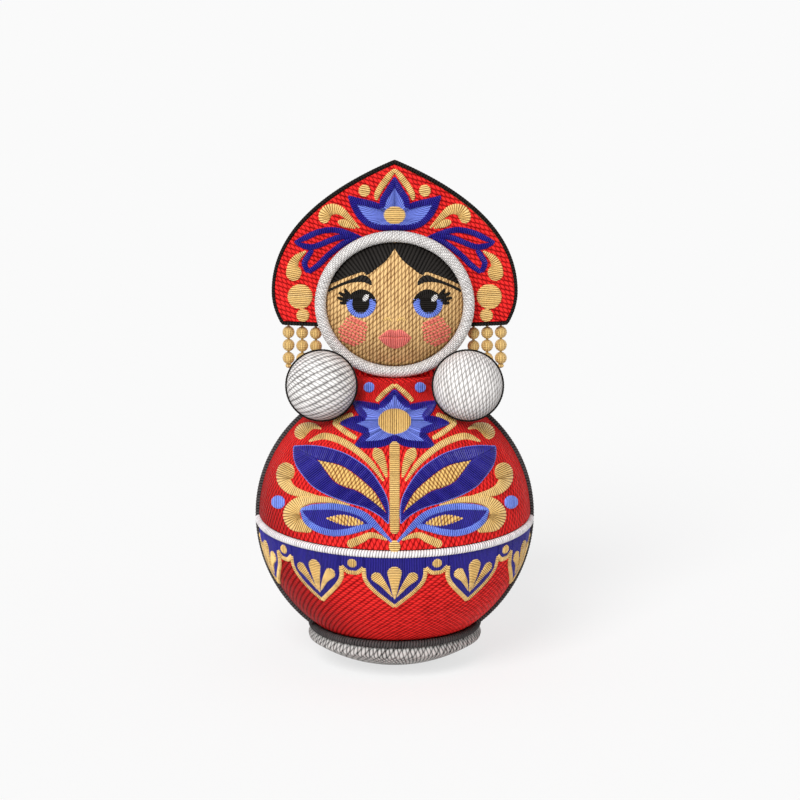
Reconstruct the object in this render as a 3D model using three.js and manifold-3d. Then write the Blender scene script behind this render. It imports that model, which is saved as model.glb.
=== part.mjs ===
// A roly-poly doll in a crested headdress: a weighted ball body on a rocker foot, with a chime
// inside, two turning hands, a ringed face and six swinging bead strings.
// Millimetres, +Z up, the doll looks along -Y, and left is the viewer's left (-X).
// The origin is the middle of the flat under the foot.

import * as THREE from "three";
import { mergeVertices } from "three/addons/utils/BufferGeometryUtils.js";
import Module from "manifold-3d";

const wasm = await Module();
wasm.setup();

// Driving dimensions: lengths in millimetres, angles in degrees

// Clearance between pieces that seat on, fit in or pass through each other
const FIT_GAP = 0.3;

// Body: embroidered covers over two moulded shells that lap at the belt
const BODY_RADIUS = 40.8;
const COVER_THICKNESS = 1.0;
const SHELL_WALL = 2.2;
const BELT_DROP = 1.2; // belt plane below the middle of the body
const BELT_CORD_RADIUS = 1.1;
const LAP_HEIGHT = 3.0; // lip of the bowl inside the upper shell
const LOWER_PANEL_START = 15; // from straight down, under the foot
const SIDE_CORD_RADIUS = 1.1;
const SIDE_CORD_TOP = 24; // from straight up
const SEAM_LEAN = 15; // below the middle the side seams run forward by this angle

// Rocker foot: a cap on the bottom of the body, with a flat to stand on
const FOOT_THICKNESS = 4.8;
const FOOT_ANGLE = 34.5; // from straight down to the rim
const FOOT_FLAT_DEPTH = 0.4;
const FOOT_CORD_RADIUS = 1.1;

// Neck
const NECK_WALL = 7.8;
const NECK_FILLET = 4.0;
const NECK_SEAT = 2.6; // how far the collar rises past the lowest point of the hood
const NECK_HEIGHT = 5.2; // from the top of the body ball to the bottom of the hood
const DOWEL_RADIUS = 3.6;
const DOWEL_REACH = 7.0; // into the hood
const DOWEL_TAIL = 10.0; // below the bottom of the hood

// Head: the axis of the hood, face and ring points forward
const HOOD_RADIUS = 21.95;
const HEAD_ASPECT = 0.941; // height over width
const HOOD_WALL = 1.6;
const HOOD_DEPTH = 19.5; // behind the middle of the head
const HOOD_FRONT = 5.7; // in front of the middle of the head
const FACE_WALL = 2.0;
const FACE_RISE = 9.0; // of the dome
const RING_TUBE_RADIUS = 1.75;

// Headdress: a swept-back board between a front cloth and a lining, bound along its edge
const CREST_TIP = 42.1; // the outline, from the middle of the head
const CREST_TIP_RUN = 18.2; // how far the edge leans out at the tip, and falls there
const CREST_TIP_FALL = 7.9;
const CREST_SHOULDER = 2.4;
const CREST_SIDE_RUN = 18.7; // how straight the edge rises over the shoulder
const CREST_HALF_WIDTH = 35.7;
const CREST_BOTTOM = 6.4;
const CREST_BOTTOM_HALF_WIDTH = 33.2;
const CREST_CURVE_RADIUS = 176;
const CREST_FRONT_THICKNESS = 1.0;
const CREST_BOARD_THICKNESS = 2.0;
const CREST_LINING_THICKNESS = 0.8;
const EDGING_WIDTH = 1.2;

// Bead strings
const BEAD_RADIUS = 1.85;
const BEADS_PER_STRING = 3;
const STRINGS_PER_SIDE = 3;
const STRING_GAP = 0.4; // between beads of neighbouring strings
const THREAD_RADIUS = 0.4;
const KNOT_RADIUS = 1.0;
const KNOT_LENGTH = 0.9;

// Hands
const HAND_RADIUS = 10.3;
const HAND_STANDOFF = 0.4; // from the body cover
const HAND_AZIMUTH = 53.7; // from straight ahead
const HAND_RING_GAP = 1.0; // under the face ring
const HAND_SEAM_RADIUS = 0.55;
const HAND_SEAM_TILT = 15; // the seam ring leans back
const PEG_RADIUS = 2.0;
const PEG_GRIP = 6.0; // inside the hand
const PEG_HEAD_RADIUS = 3.2;
const PEG_HEAD_HEIGHT = 1.5;

// Ballast and its bolt
const BALLAST_HEIGHT = 15.0;
const BOLT_RADIUS = 2.0;
const BOLT_HEAD_RADIUS = 4.0;
const BOLT_HEAD_HEIGHT = 2.2;
const BOSS_WALL = 2.4;
const BOSS_HEIGHT = 6.0;
const BOSS_FLOOR = 1.0;

// Chime
const PLATE_RADIUS = 24.0;
const PLATE_THICKNESS = 2.4;
const ROD_RADIUS = 1.2;
const ROD_LENGTHS = [17, 19, 21, 23]; // above the plate
const ROD_SIDE = 13.0; // from the middle, in the clapper's swing
const ROD_SPREAD = 4.0; // across the swing
const CLAPPER_LENGTH = 18.0;
const CLAPPER_BALL_RADIUS = 4.5;
const CLAPPER_ROD_RADIUS = 0.9;
const CLAPPER_CLEARANCE = 2.0; // over the bolt's head
const EYE_RADIUS = 2.4;
const EYE_WIDTH = 2.4;
const PIN_RADIUS = 0.9;
const BRIDGE_SPAN = 32.0; // between the middles of its legs
const BRIDGE_LEG = 3.0;
const BRIDGE_WIDTH = 5.0;
const BRIDGE_CHEEK = 3.0; // below the pin
const BRIDGE_CAP = 2.4; // over the eye's slot

// Fineness of round shapes
const BODY_SEGMENTS = 28;
const HEAD_SEGMENTS = 24;
const HAND_SEGMENTS = 20;
const SMALL_SEGMENTS = 12;
const CORD_SIDES = 8;
const SIDE_CORD_STEPS = 16;
const ARC_STEP = 12; // degrees along a large profile
const SMALL_ARC_STEP = 20; // degrees along a small one
const BEAD_ARC_STEP = 30;
const CREST_SIDE_STEPS = 11;
const CREST_CHEEK_STEPS = 3;
const CREST_LAYER_STEPS = 12;
const RING_SAMPLES = 360;
const HALVINGS = 40;

// Places worked out from the driving dimensions; heights are from the middle of the body
const rad = THREE.MathUtils.degToRad;
const deg = THREE.MathUtils.radToDeg;
const SHELL_RADIUS = BODY_RADIUS - COVER_THICKNESS - FIT_GAP;
const SHELL_INSIDE = SHELL_RADIUS - SHELL_WALL;
const SHELL_FLATS = SHELL_INSIDE * Math.cos(rad(ARC_STEP / 2)) * Math.cos(Math.PI / BODY_SEGMENTS);
const FOOT_INSIDE = BODY_RADIUS + FIT_GAP;
const FOOT_RADIUS = FOOT_INSIDE + FOOT_THICKNESS;
const BODY_CENTRE = FOOT_RADIUS - FOOT_FLAT_DEPTH;
const BELT_Z = -BELT_DROP;
const BELT_CENTRE_RADIUS = SHELL_RADIUS + FIT_GAP + BELT_CORD_RADIUS;
const SIDE_CENTRE_RADIUS = SHELL_RADIUS + FIT_GAP + SIDE_CORD_RADIUS;
const FOOT_CORD_CENTRE = BODY_RADIUS + FIT_GAP + FOOT_CORD_RADIUS;
const FOOT_CORD_ANGLE = FOOT_ANGLE + deg((FOOT_CORD_RADIUS + FIT_GAP) / FOOT_CORD_CENTRE);
const SEAM_SKEW = Math.sin(rad(SEAM_LEAN)) / Math.sin(rad(FOOT_CORD_ANGLE));
const SEAM_FOOT_GAP = FOOT_CORD_RADIUS + 2 * FIT_GAP + SIDE_CORD_RADIUS * SEAM_SKEW;
const SEAM_FOOT_ANGLE = FOOT_CORD_ANGLE + deg(SEAM_FOOT_GAP / SIDE_CENTRE_RADIUS);
const SIDE_CORD_START = deg(Math.acos(Math.cos(rad(SEAM_FOOT_ANGLE)) / Math.cos(rad(SEAM_LEAN))));
const HOOD_BOTTOM = BODY_RADIUS + NECK_HEIGHT;
const HEAD_Z = HOOD_BOTTOM + HOOD_RADIUS * HEAD_ASPECT;
const NECK_TOP = HOOD_BOTTOM + NECK_SEAT;
const NECK_BORE = DOWEL_RADIUS + FIT_GAP;
const NECK_RADIUS = NECK_BORE + NECK_WALL;
const FACE_RADIUS = HOOD_RADIUS - HOOD_WALL - FIT_GAP;
const FACE_BACK = NECK_BORE + FIT_GAP; // the plug of the face stops in front of the dowel
const RING_CENTRE_RADIUS = FACE_RADIUS + FIT_GAP + RING_TUBE_RADIUS;
const RING_FORWARD = HOOD_FRONT + FIT_GAP + RING_TUBE_RADIUS;
const OPENING_RADIUS = HOOD_RADIUS + FIT_GAP;
const BOARD_FRONT = CREST_CURVE_RADIUS - CREST_FRONT_THICKNESS - FIT_GAP;
const BOARD_BACK = BOARD_FRONT - CREST_BOARD_THICKNESS;
const LINING_FRONT = BOARD_BACK - FIT_GAP;
const LINING_BACK = LINING_FRONT - CREST_LINING_THICKNESS;
const CREST_AXIS = CREST_CURVE_RADIUS - HOOD_FRONT;
const EDGING_OUTSIDE = FIT_GAP + EDGING_WIDTH;
const HAND_DISTANCE = BODY_RADIUS + HAND_STANDOFF + HAND_RADIUS;
const BALLAST_RADIUS = SHELL_INSIDE - FIT_GAP;
const BALLAST_TOP = BALLAST_HEIGHT - BALLAST_RADIUS;
const BOSS_TOP = BOSS_HEIGHT - SHELL_INSIDE;
const BOSS_BOTTOM = BOSS_FLOOR - SHELL_INSIDE;
const BOSS_RADIUS = BOLT_RADIUS + FIT_GAP + BOSS_WALL;
const PLATE_BOTTOM = BALLAST_TOP + FIT_GAP;
const PLATE_TOP = PLATE_BOTTOM + PLATE_THICKNESS;
const BOLT_HEAD_BOTTOM = PLATE_TOP + FIT_GAP;
const BALL_Z = BOLT_HEAD_BOTTOM + BOLT_HEAD_HEIGHT + CLAPPER_CLEARANCE + CLAPPER_BALL_RADIUS;
const PIVOT_Z = BALL_Z + CLAPPER_LENGTH;

// Finishes: colour, roughness and metalness
const FINISHES = {
  red_cloth: [0xcd2222, 0.75, 0],
  black_cord: [0x262323, 0.8, 0],
  white_cord: [0xe6e0dc, 0.8, 0],
  grey_foot: [0x95908e, 0.8, 0],
  face_cloth: [0xb89562, 0.75, 0],
  hand_cloth: [0xe2dfdc, 0.8, 0],
  gold_thread: [0xe4be75, 0.5, 0],
  plastic: [0xb42424, 0.5, 0],
  board: [0x9a7b58, 0.9, 0],
  wood: [0xc49a66, 0.7, 0],
  iron: [0x4a4a4c, 0.7, 1],
  steel: [0xb8bcc0, 0.35, 1],
  brass: [0xc9a24a, 0.3, 1],
};

// Solids

/** Turns a closed geometry into a solid with its faces outwards. */
function solidOf(geometry) {
  const bare = new THREE.BufferGeometry();
  bare.setAttribute("position", geometry.getAttribute("position"));
  bare.setIndex(geometry.index);
  const merged = mergeVertices(bare, 1e-4);
  const corners = merged.index.array;
  const kept = [];
  for (let i = 0; i < corners.length; i += 3) {
    const [a, b, c] = corners.slice(i, i + 3);
    if (a !== b && b !== c && c !== a) {
      kept.push(a, b, c);
    }
  }
  const build = (triangles) =>
    new wasm.Manifold(
      new wasm.Mesh({
        numProp: 3,
        vertProperties: Float32Array.from(merged.getAttribute("position").array),
        triVerts: Uint32Array.from(triangles),
      }),
    );
  const solid = build(kept);
  return solid.volume() > 0 ? solid : build(kept.reverse());
}

/** Turns a solid back into a geometry. */
function geometryOf(solid) {
  const mesh = solid.getMesh();
  const geometry = new THREE.BufferGeometry();
  geometry.setAttribute("position", new THREE.BufferAttribute(mesh.vertProperties, mesh.numProp));
  geometry.setIndex(new THREE.BufferAttribute(mesh.triVerts, 1));
  return geometry;
}

/** The first geometry with the others cut out of it. */
function cut(geometry, ...tools) {
  return geometryOf(tools.reduce((solid, tool) => solid.subtract(solidOf(tool)), solidOf(geometry)));
}

/** All the geometries joined. */
function join(first, ...others) {
  return geometryOf(others.reduce((solid, other) => solid.add(solidOf(other)), solidOf(first)));
}

/** What the first geometry has in common with the others. */
function common(first, ...others) {
  return geometryOf(others.reduce((solid, other) => solid.intersect(solidOf(other)), solidOf(first)));
}

// Shapes

/** Profile points [radius, height] on a circle, between angles from straight down. */
function arc(radius, from, to, step = ARC_STEP) {
  const steps = Math.max(2, Math.ceil(Math.abs(to - from) / step));
  return Array.from({ length: steps + 1 }, (_, i) => {
    const angle = rad(from + ((to - from) * i) / steps);
    return [radius * Math.sin(angle), -radius * Math.cos(angle)];
  });
}

/** Angle from straight down at which a circle reaches a height. */
function angleAt(radius, height) {
  return deg(Math.acos(-height / radius));
}

/** A profile of [radius, height] points turned about Z. */
function turned(profile, segments) {
  const points = profile.map(([radius, height]) => new THREE.Vector2(radius, height));
  return new THREE.LatheGeometry(points, segments).rotateX(Math.PI / 2);
}

/** A closed profile, which meets itself away from the axis, turned about Z. */
function turnedRing(profile, segments) {
  return turned([...profile, profile[0]], segments);
}

/** Points of a round section about a place in a profile. */
function roundSection(radius, across = 0, along = 0) {
  return Array.from({ length: CORD_SIDES }, (_, i) => {
    const angle = (2 * Math.PI * i) / CORD_SIDES;
    return [across + radius * Math.cos(angle), along + radius * Math.sin(angle)];
  });
}

/** A ring of round section about Z. */
function cordRing(centreRadius, tube, segments) {
  return turnedRing(roundSection(tube, centreRadius), segments);
}

/** A round bar along Z. */
function bar(radius, bottom, top, segments = SMALL_SEGMENTS) {
  return turned([[0, bottom], [radius, bottom], [radius, top], [0, top]], segments);
}

/** A box between two corners. */
function block(low, high) {
  const size = high.map((value, i) => value - low[i]);
  const middle = high.map((value, i) => (value + low[i]) / 2);
  return new THREE.BoxGeometry(...size).translate(...middle);
}

/** Turns a geometry that lies along Z so that it lies along a direction. */
function aimed(geometry, direction) {
  const turn = new THREE.Quaternion().setFromUnitVectors(new THREE.Vector3(0, 0, 1), direction);
  return geometry.applyQuaternion(turn);
}

/** A flat outline [x, z], carried through a depth along Y. */
function slab(points, front, back) {
  const shape = new THREE.Shape(points.map(([x, z]) => new THREE.Vector2(x, z)));
  const options = { depth: back - front, bevelEnabled: false };
  return new THREE.ExtrudeGeometry(shape, options).rotateX(Math.PI / 2).translate(0, back, 0);
}

// Body

/** Profile of the ball's upper part with a fillet into the neck, from a height up to the neck. */
function shoulderProfile(radius, neck, bottom, top) {
  const reach = radius + NECK_FILLET;
  const side = neck + NECK_FILLET;
  const height = Math.sqrt(reach * reach - side * side);
  const tangent = angleAt(reach, height);
  const ball = arc(radius, angleAt(radius, bottom), tangent);
  const fillet = arc(NECK_FILLET, tangent - 180, -90, SMALL_ARC_STEP);
  return [...ball, ...fillet.slice(1).map(([x, z]) => [side + x, height + z]), [neck, top]];
}

/** The front or back half of space, less half a clearance at the seam, which may lean. */
function halfSpace(side, lean = 0) {
  const far = 2 * BODY_RADIUS;
  const near = (side * FIT_GAP) / 2;
  const edges = [near, side * far].sort((a, b) => a - b);
  return block([-far, edges[0], -far], [far, edges[1], far]).rotateX(-rad(lean));
}

/** The arc that a side seam cord follows: upright above the middle, leaning forward below it. */
class SeamArc extends THREE.Curve {
  constructor(side, grow) {
    super();
    this.side = side;
    const past = deg(grow / SIDE_CENTRE_RADIUS);
    this.ends = [SIDE_CORD_START - past, 180 - SIDE_CORD_TOP + past];
  }

  getPoint(t) {
    const angle = rad(THREE.MathUtils.lerp(...this.ends, t));
    const across = this.side * SIDE_CENTRE_RADIUS * Math.sin(angle);
    const rise = -SIDE_CENTRE_RADIUS * Math.cos(angle);
    const lean = rad(rise < 0 ? SEAM_LEAN : 0);
    return new THREE.Vector3(across, rise * Math.sin(lean), rise * Math.cos(lean));
  }
}

/** A side seam cord, thicker and longer by a clearance where it makes its own groove. */
function sideCord(side, grow = 0) {
  const points = roundSection(SIDE_CORD_RADIUS + grow);
  const section = new THREE.Shape(points.map(([x, y]) => new THREE.Vector2(x, y)));
  const options = { steps: SIDE_CORD_STEPS, extrudePath: new SeamArc(side, grow) };
  return new THREE.ExtrudeGeometry(section, options);
}

/** Grooves for both side cords. */
function sideGrooves() {
  return [-1, 1].map((side) => sideCord(side, FIT_GAP));
}

function rockerFoot() {
  const flatAngle = angleAt(FOOT_RADIUS, -BODY_CENTRE);
  const inside = arc(FOOT_INSIDE, 0, FOOT_ANGLE);
  const outside = arc(FOOT_RADIUS, FOOT_ANGLE, flatAngle);
  return turned([...inside, ...outside, [0, -BODY_CENTRE]], BODY_SEGMENTS);
}

function footCord() {
  const angle = rad(FOOT_CORD_ANGLE);
  const ring = cordRing(FOOT_CORD_CENTRE * Math.sin(angle), FOOT_CORD_RADIUS, BODY_SEGMENTS);
  return ring.translate(0, 0, -FOOT_CORD_CENTRE * Math.cos(angle));
}

/** Radius in the belt plane of a ball about the body's middle. */
function beltRadius(radius) {
  return Math.sqrt(radius * radius - BELT_Z * BELT_Z);
}

const LAP_MIDDLE = (beltRadius(SHELL_RADIUS) + beltRadius(SHELL_INSIDE)) / 2;

function baseBowl() {
  const boss = Math.sqrt(SHELL_INSIDE ** 2 - BOSS_RADIUS ** 2);
  const bore = BOLT_RADIUS + FIT_GAP;
  const seam = BELT_Z - FIT_GAP / 2;
  return turned(
    [
      [0, BOSS_BOTTOM],
      [bore, BOSS_BOTTOM],
      [bore, BOSS_TOP],
      [BOSS_RADIUS, BOSS_TOP],
      ...arc(SHELL_INSIDE, angleAt(SHELL_INSIDE, -boss), angleAt(SHELL_INSIDE, BELT_Z)),
      [beltRadius(SHELL_INSIDE), BELT_Z + LAP_HEIGHT],
      [LAP_MIDDLE - FIT_GAP / 2, BELT_Z + LAP_HEIGHT],
      [LAP_MIDDLE - FIT_GAP / 2, seam],
      ...arc(SHELL_RADIUS, angleAt(SHELL_RADIUS, seam), 0),
    ],
    BODY_SEGMENTS,
  );
}

function upperShell() {
  const seam = BELT_Z + FIT_GAP / 2;
  const step = BELT_Z + LAP_HEIGHT + FIT_GAP;
  const boreAngle = deg(Math.PI - Math.asin(NECK_BORE / SHELL_INSIDE));
  const inside = arc(SHELL_INSIDE, boreAngle, angleAt(SHELL_INSIDE, step));
  const shell = turnedRing(
    [
      ...shoulderProfile(SHELL_RADIUS, NECK_RADIUS, seam, NECK_TOP),
      [NECK_BORE, NECK_TOP],
      ...inside,
      [LAP_MIDDLE + FIT_GAP / 2, step],
      [LAP_MIDDLE + FIT_GAP / 2, seam],
    ],
    BODY_SEGMENTS,
  );
  return cut(shell, ...headSeat(), ...HANDS.map((hand) => pegHole(hand)));
}

function lowerCover() {
  const top = BELT_Z - BELT_CORD_RADIUS - FIT_GAP;
  const inside = BODY_RADIUS - COVER_THICKNESS;
  return turnedRing(
    [
      ...arc(BODY_RADIUS, LOWER_PANEL_START, angleAt(BODY_RADIUS, top)),
      ...arc(inside, angleAt(inside, top), LOWER_PANEL_START),
    ],
    BODY_SEGMENTS,
  );
}

function upperCover() {
  const bottom = BELT_Z + BELT_CORD_RADIUS + FIT_GAP;
  const neckInside = NECK_RADIUS + FIT_GAP;
  const neckOutside = neckInside + COVER_THICKNESS;
  const inside = shoulderProfile(BODY_RADIUS - COVER_THICKNESS, neckInside, bottom, NECK_TOP);
  const outside = shoulderProfile(BODY_RADIUS, neckOutside, bottom, NECK_TOP);
  return turnedRing([...outside, ...inside.reverse()], BODY_SEGMENTS);
}

/** One half of a cover, with room for the side cords. */
function panel(cover, side, lean, ...holes) {
  const half = common(cover, halfSpace(side, lean));
  return cut(half, ...sideGrooves(), ...holes);
}

/** Half of the belt cord, with its ends under the side cords. */
function beltHalf(side) {
  const ring = cordRing(BELT_CENTRE_RADIUS, BELT_CORD_RADIUS, BODY_SEGMENTS);
  return cut(common(ring.translate(0, 0, BELT_Z), halfSpace(side)), ...sideGrooves());
}

// Hands

/** Unit vector from the body's middle towards a hand. */
function handDirection(side, elevation) {
  const flat = Math.cos(elevation);
  const azimuth = rad(HAND_AZIMUTH);
  const ahead = -flat * Math.cos(azimuth);
  return new THREE.Vector3(side * flat * Math.sin(azimuth), ahead, Math.sin(elevation));
}

/** Least distance from a point to the middle line of the face ring. */
function distanceToRing(point) {
  const onRing = Array.from({ length: RING_SAMPLES }, (_, i) => {
    const angle = (2 * Math.PI * i) / RING_SAMPLES;
    const up = HEAD_Z + RING_CENTRE_RADIUS * HEAD_ASPECT * Math.sin(angle);
    return new THREE.Vector3(RING_CENTRE_RADIUS * Math.cos(angle), -RING_FORWARD, up);
  });
  return Math.min(...onRing.map((other) => other.distanceTo(point)));
}

/** How high the hands sit on the shoulder: as high as the face ring lets them. */
function handElevation() {
  const wanted = HAND_RADIUS + RING_TUBE_RADIUS + HAND_RING_GAP;
  let low = 0;
  let high = Math.PI / 2;
  for (let i = 0; i < HALVINGS; i += 1) {
    const middle = (low + high) / 2;
    const centre = handDirection(1, middle).multiplyScalar(HAND_DISTANCE);
    if (distanceToRing(centre) > wanted) {
      low = middle;
    } else {
      high = middle;
    }
  }
  return low;
}

const HAND_ELEVATION = handElevation();
const HANDS = [["left", -1], ["right", 1]].map(([name, side]) => {
  const direction = handDirection(side, HAND_ELEVATION);
  return { name, side, direction, centre: direction.clone().multiplyScalar(HAND_DISTANCE) };
});
const SEAM_NORMAL = new THREE.Vector3(0, -Math.cos(rad(HAND_SEAM_TILT)), Math.sin(rad(HAND_SEAM_TILT)));

/** Room for a peg through the shell and the cover. */
function pegHole(hand) {
  return aimed(bar(PEG_RADIUS + FIT_GAP, SHELL_INSIDE / 2, HAND_DISTANCE), hand.direction);
}

function handSeam(tube) {
  return aimed(cordRing(HAND_RADIUS, tube, HAND_SEGMENTS), SEAM_NORMAL);
}

/** The ball of a hand, about its own middle. */
function handBall(hand) {
  const ball = turned(arc(HAND_RADIUS, 0, 180, SMALL_ARC_STEP), HAND_SEGMENTS);
  const bore = bar(PEG_RADIUS + FIT_GAP, -2 * HAND_RADIUS, PEG_GRIP + FIT_GAP - HAND_RADIUS);
  const groove = handSeam(HAND_SEAM_RADIUS + FIT_GAP);
  return cut(ball, groove, aimed(bore, hand.direction));
}

/** The peg that a hand turns on, with its snap head inside the shell. */
function handPeg(hand) {
  const headTop = SHELL_FLATS - FIT_GAP;
  const tip = HAND_DISTANCE - HAND_RADIUS + PEG_GRIP;
  const profile = [
    [0, headTop - PEG_HEAD_HEIGHT],
    [PEG_RADIUS, headTop - PEG_HEAD_HEIGHT],
    [PEG_HEAD_RADIUS, headTop - PEG_HEAD_HEIGHT / 2],
    [PEG_HEAD_RADIUS, headTop],
    [PEG_RADIUS, headTop],
    [PEG_RADIUS, tip],
    [0, tip],
  ];
  return aimed(turned(profile, SMALL_SEGMENTS), hand.direction);
}

// Head, about the middle of the head

/** A profile [radius, forward] turned about the head's axis and lowered to the head's height. */
function facing(profile) {
  const points = profile.map(([radius, forward]) => new THREE.Vector2(radius, forward));
  return new THREE.LatheGeometry(points, HEAD_SEGMENTS).rotateX(Math.PI).scale(1, 1, HEAD_ASPECT);
}

/** Profile of the hood's back, from its pole to the plane through the head's middle. */
function hoodBack(radius, depth) {
  return arc(1, 0, 90).map(([across, along]) => [radius * across, depth * along]);
}

function hoodOutside(grow) {
  const back = hoodBack(HOOD_RADIUS + grow, HOOD_DEPTH + grow);
  return [...back, [HOOD_RADIUS + grow, HOOD_FRONT + grow]];
}

function faceRing() {
  const section = roundSection(RING_TUBE_RADIUS, RING_CENTRE_RADIUS, RING_FORWARD);
  return facing([...section, section[0]]);
}

/** What the collar of the neck makes room for: the hood, and the ring in front of it. */
function headSeat() {
  const hood = facing([...hoodOutside(FIT_GAP), [0, HOOD_FRONT + FIT_GAP]]).translate(0, 0, HEAD_Z);
  const ringBottom = HEAD_Z - (RING_CENTRE_RADIUS + RING_TUBE_RADIUS) * HEAD_ASPECT - FIT_GAP;
  const wide = 2 * NECK_RADIUS;
  const ring = block([-wide, -wide, ringBottom], [wide, -HOOD_FRONT, ringBottom + wide]);
  return [hood, ring];
}

function hoodShell() {
  const inside = hoodBack(HOOD_RADIUS - HOOD_WALL, HOOD_DEPTH - HOOD_WALL);
  const rim = [HOOD_RADIUS - HOOD_WALL, HOOD_FRONT];
  const shell = facing([...hoodOutside(0), rim, ...inside.reverse()]);
  const half = HOOD_RADIUS * HEAD_ASPECT;
  return cut(shell, bar(NECK_BORE, -2 * half, DOWEL_REACH - half));
}

function facePlate() {
  const ballRadius = (FACE_RADIUS ** 2 + FACE_RISE ** 2) / (2 * FACE_RISE);
  const edge = RING_FORWARD - RING_TUBE_RADIUS / 2;
  const middle = edge + FACE_RISE - ballRadius;
  const inner = FACE_RADIUS - FACE_WALL;
  const dome = (radius, rim) => {
    const from = deg(Math.PI - Math.asin(rim / radius));
    return arc(radius, from, 180).map(([x, z]) => [x, z + middle]);
  };
  return facing([
    ...dome(ballRadius - FACE_WALL, inner).reverse(),
    [inner, FACE_BACK],
    [FACE_RADIUS, FACE_BACK],
    ...dome(ballRadius, FACE_RADIUS),
  ]);
}

// Headdress, about the middle of the head

/** Right half of the board's outline, from the tip to the bottom corner, as curves. */
function crestHalf() {
  const tip = new THREE.Vector2(0, CREST_TIP);
  const shoulder = new THREE.Vector2(CREST_HALF_WIDTH, CREST_SHOULDER);
  const corner = new THREE.Vector2(CREST_BOTTOM_HALF_WIDTH, -CREST_BOTTOM);
  const leaving = new THREE.Vector2(CREST_TIP_RUN, CREST_TIP - CREST_TIP_FALL);
  const arriving = new THREE.Vector2(CREST_HALF_WIDTH, CREST_SHOULDER + CREST_SIDE_RUN);
  const bulge = new THREE.Vector2(CREST_HALF_WIDTH, (CREST_SHOULDER - CREST_BOTTOM) / 2);
  const side = new THREE.CubicBezierCurve(tip, leaving, arriving, shoulder).getPoints(CREST_SIDE_STEPS);
  const cheek = new THREE.QuadraticBezierCurve(shoulder, bulge, corner).getPoints(CREST_CHEEK_STEPS);
  return [...side, ...cheek.slice(1)].map((point) => [point.x, point.y]);
}

/** The whole outline [x, z], clockwise from the tip, with each edge moved outwards. */
function crestOutline(grow) {
  const half = crestHalf();
  const mirrored = half.slice(1).map(([x, z]) => [-x, z]);
  const points = [...half, ...mirrored.reverse()].map(([x, z]) => new THREE.Vector2(x, z));
  return points.map((point, i) => {
    const before = points[(i + points.length - 1) % points.length];
    const after = points[(i + 1) % points.length];
    const arriving = point.clone().sub(before).normalize();
    const leaving = after.clone().sub(point).normalize();
    const normal = new THREE.Vector2(-arriving.y - leaving.y, arriving.x + leaving.x).normalize();
    const reach = grow / Math.abs(normal.dot(new THREE.Vector2(-leaving.y, leaving.x)));
    return [point.x + normal.x * reach, point.y + normal.y * reach];
  });
}

/** A layer of the swept-back headdress between two radii, all across. */
function crestLayer(front, back) {
  const steps = CREST_LAYER_STEPS;
  const span = Math.asin((CREST_HALF_WIDTH + 2 * EDGING_OUTSIDE) / back);
  const along = (radius, i) => {
    const angle = span * ((2 * i) / steps - 1);
    return new THREE.Vector2(radius * Math.sin(angle), CREST_AXIS - radius * Math.cos(angle));
  };
  const places = Array.from({ length: steps + 1 }, (_, i) => i);
  const outer = places.map((i) => along(front, i));
  const inner = places.map((i) => along(back, i)).reverse();
  const shape = new THREE.Shape([...outer, ...inner]);
  const height = 2 * (CREST_TIP + CREST_BOTTOM);
  const options = { depth: height, bevelEnabled: false };
  return new THREE.ExtrudeGeometry(shape, options).translate(0, 0, -height / 2);
}

/** The board's outline right through the headdress. */
function crestSlab(grow) {
  return slab(crestOutline(grow), -CREST_HALF_WIDTH, CREST_HALF_WIDTH);
}

/** The opening that the hood fills. */
function crestOpening() {
  const tube = new THREE.CylinderGeometry(
    OPENING_RADIUS,
    OPENING_RADIUS,
    2 * CREST_HALF_WIDTH,
    HEAD_SEGMENTS,
  );
  return tube.scale(1, 1, HEAD_ASPECT);
}

function crestPiece(front, back) {
  return cut(common(crestLayer(front, back), crestSlab(0)), crestOpening());
}

function crestEdging() {
  const layer = crestLayer(CREST_CURVE_RADIUS, LINING_BACK);
  return cut(common(layer, crestSlab(EDGING_OUTSIDE)), crestSlab(FIT_GAP), crestOpening());
}

// Bead strings, about the middle of the head

const STRING_TOP = -CREST_BOTTOM - EDGING_OUTSIDE - FIT_GAP;
const STRING_PITCH = 2 * BEAD_RADIUS + STRING_GAP;
const BEAD_PITCH = 2 * BEAD_RADIUS + FIT_GAP;

/** Where a string hangs: in the middle of the lobe's edge and half way through the headdress. */
function stringPlace(side, number) {
  const rise = (CREST_BOTTOM + EDGING_OUTSIDE) / (OPENING_RADIUS * HEAD_ASPECT);
  const inner = OPENING_RADIUS * Math.sqrt(1 - rise * rise);
  const lobe = (inner + CREST_BOTTOM_HALF_WIDTH + EDGING_OUTSIDE) / 2;
  const across = lobe + (number - (STRINGS_PER_SIDE - 1) / 2) * STRING_PITCH;
  const middle = (CREST_CURVE_RADIUS + LINING_BACK) / 2;
  const forward = CREST_AXIS - Math.sqrt(middle * middle - across * across);
  return [side * across, forward, STRING_TOP];
}

/** The thread of a string, hanging from its own top, with a knot under the last bead. */
function stringThread() {
  const knotTop = -FIT_GAP - BEADS_PER_STRING * BEAD_PITCH;
  return turned(
    [
      [0, knotTop - KNOT_LENGTH],
      [KNOT_RADIUS, knotTop - KNOT_LENGTH / 2],
      [THREAD_RADIUS, knotTop],
      [THREAD_RADIUS, 0],
      [0, 0],
    ],
    CORD_SIDES,
  );
}

/** A bored bead about its own middle. */
function bead() {
  const bore = THREAD_RADIUS + FIT_GAP;
  const boreAngle = deg(Math.asin(bore / BEAD_RADIUS));
  return turnedRing(arc(BEAD_RADIUS, boreAngle, 180 - boreAngle, BEAD_ARC_STEP), CORD_SIDES);
}

// Ballast and chime

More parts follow.
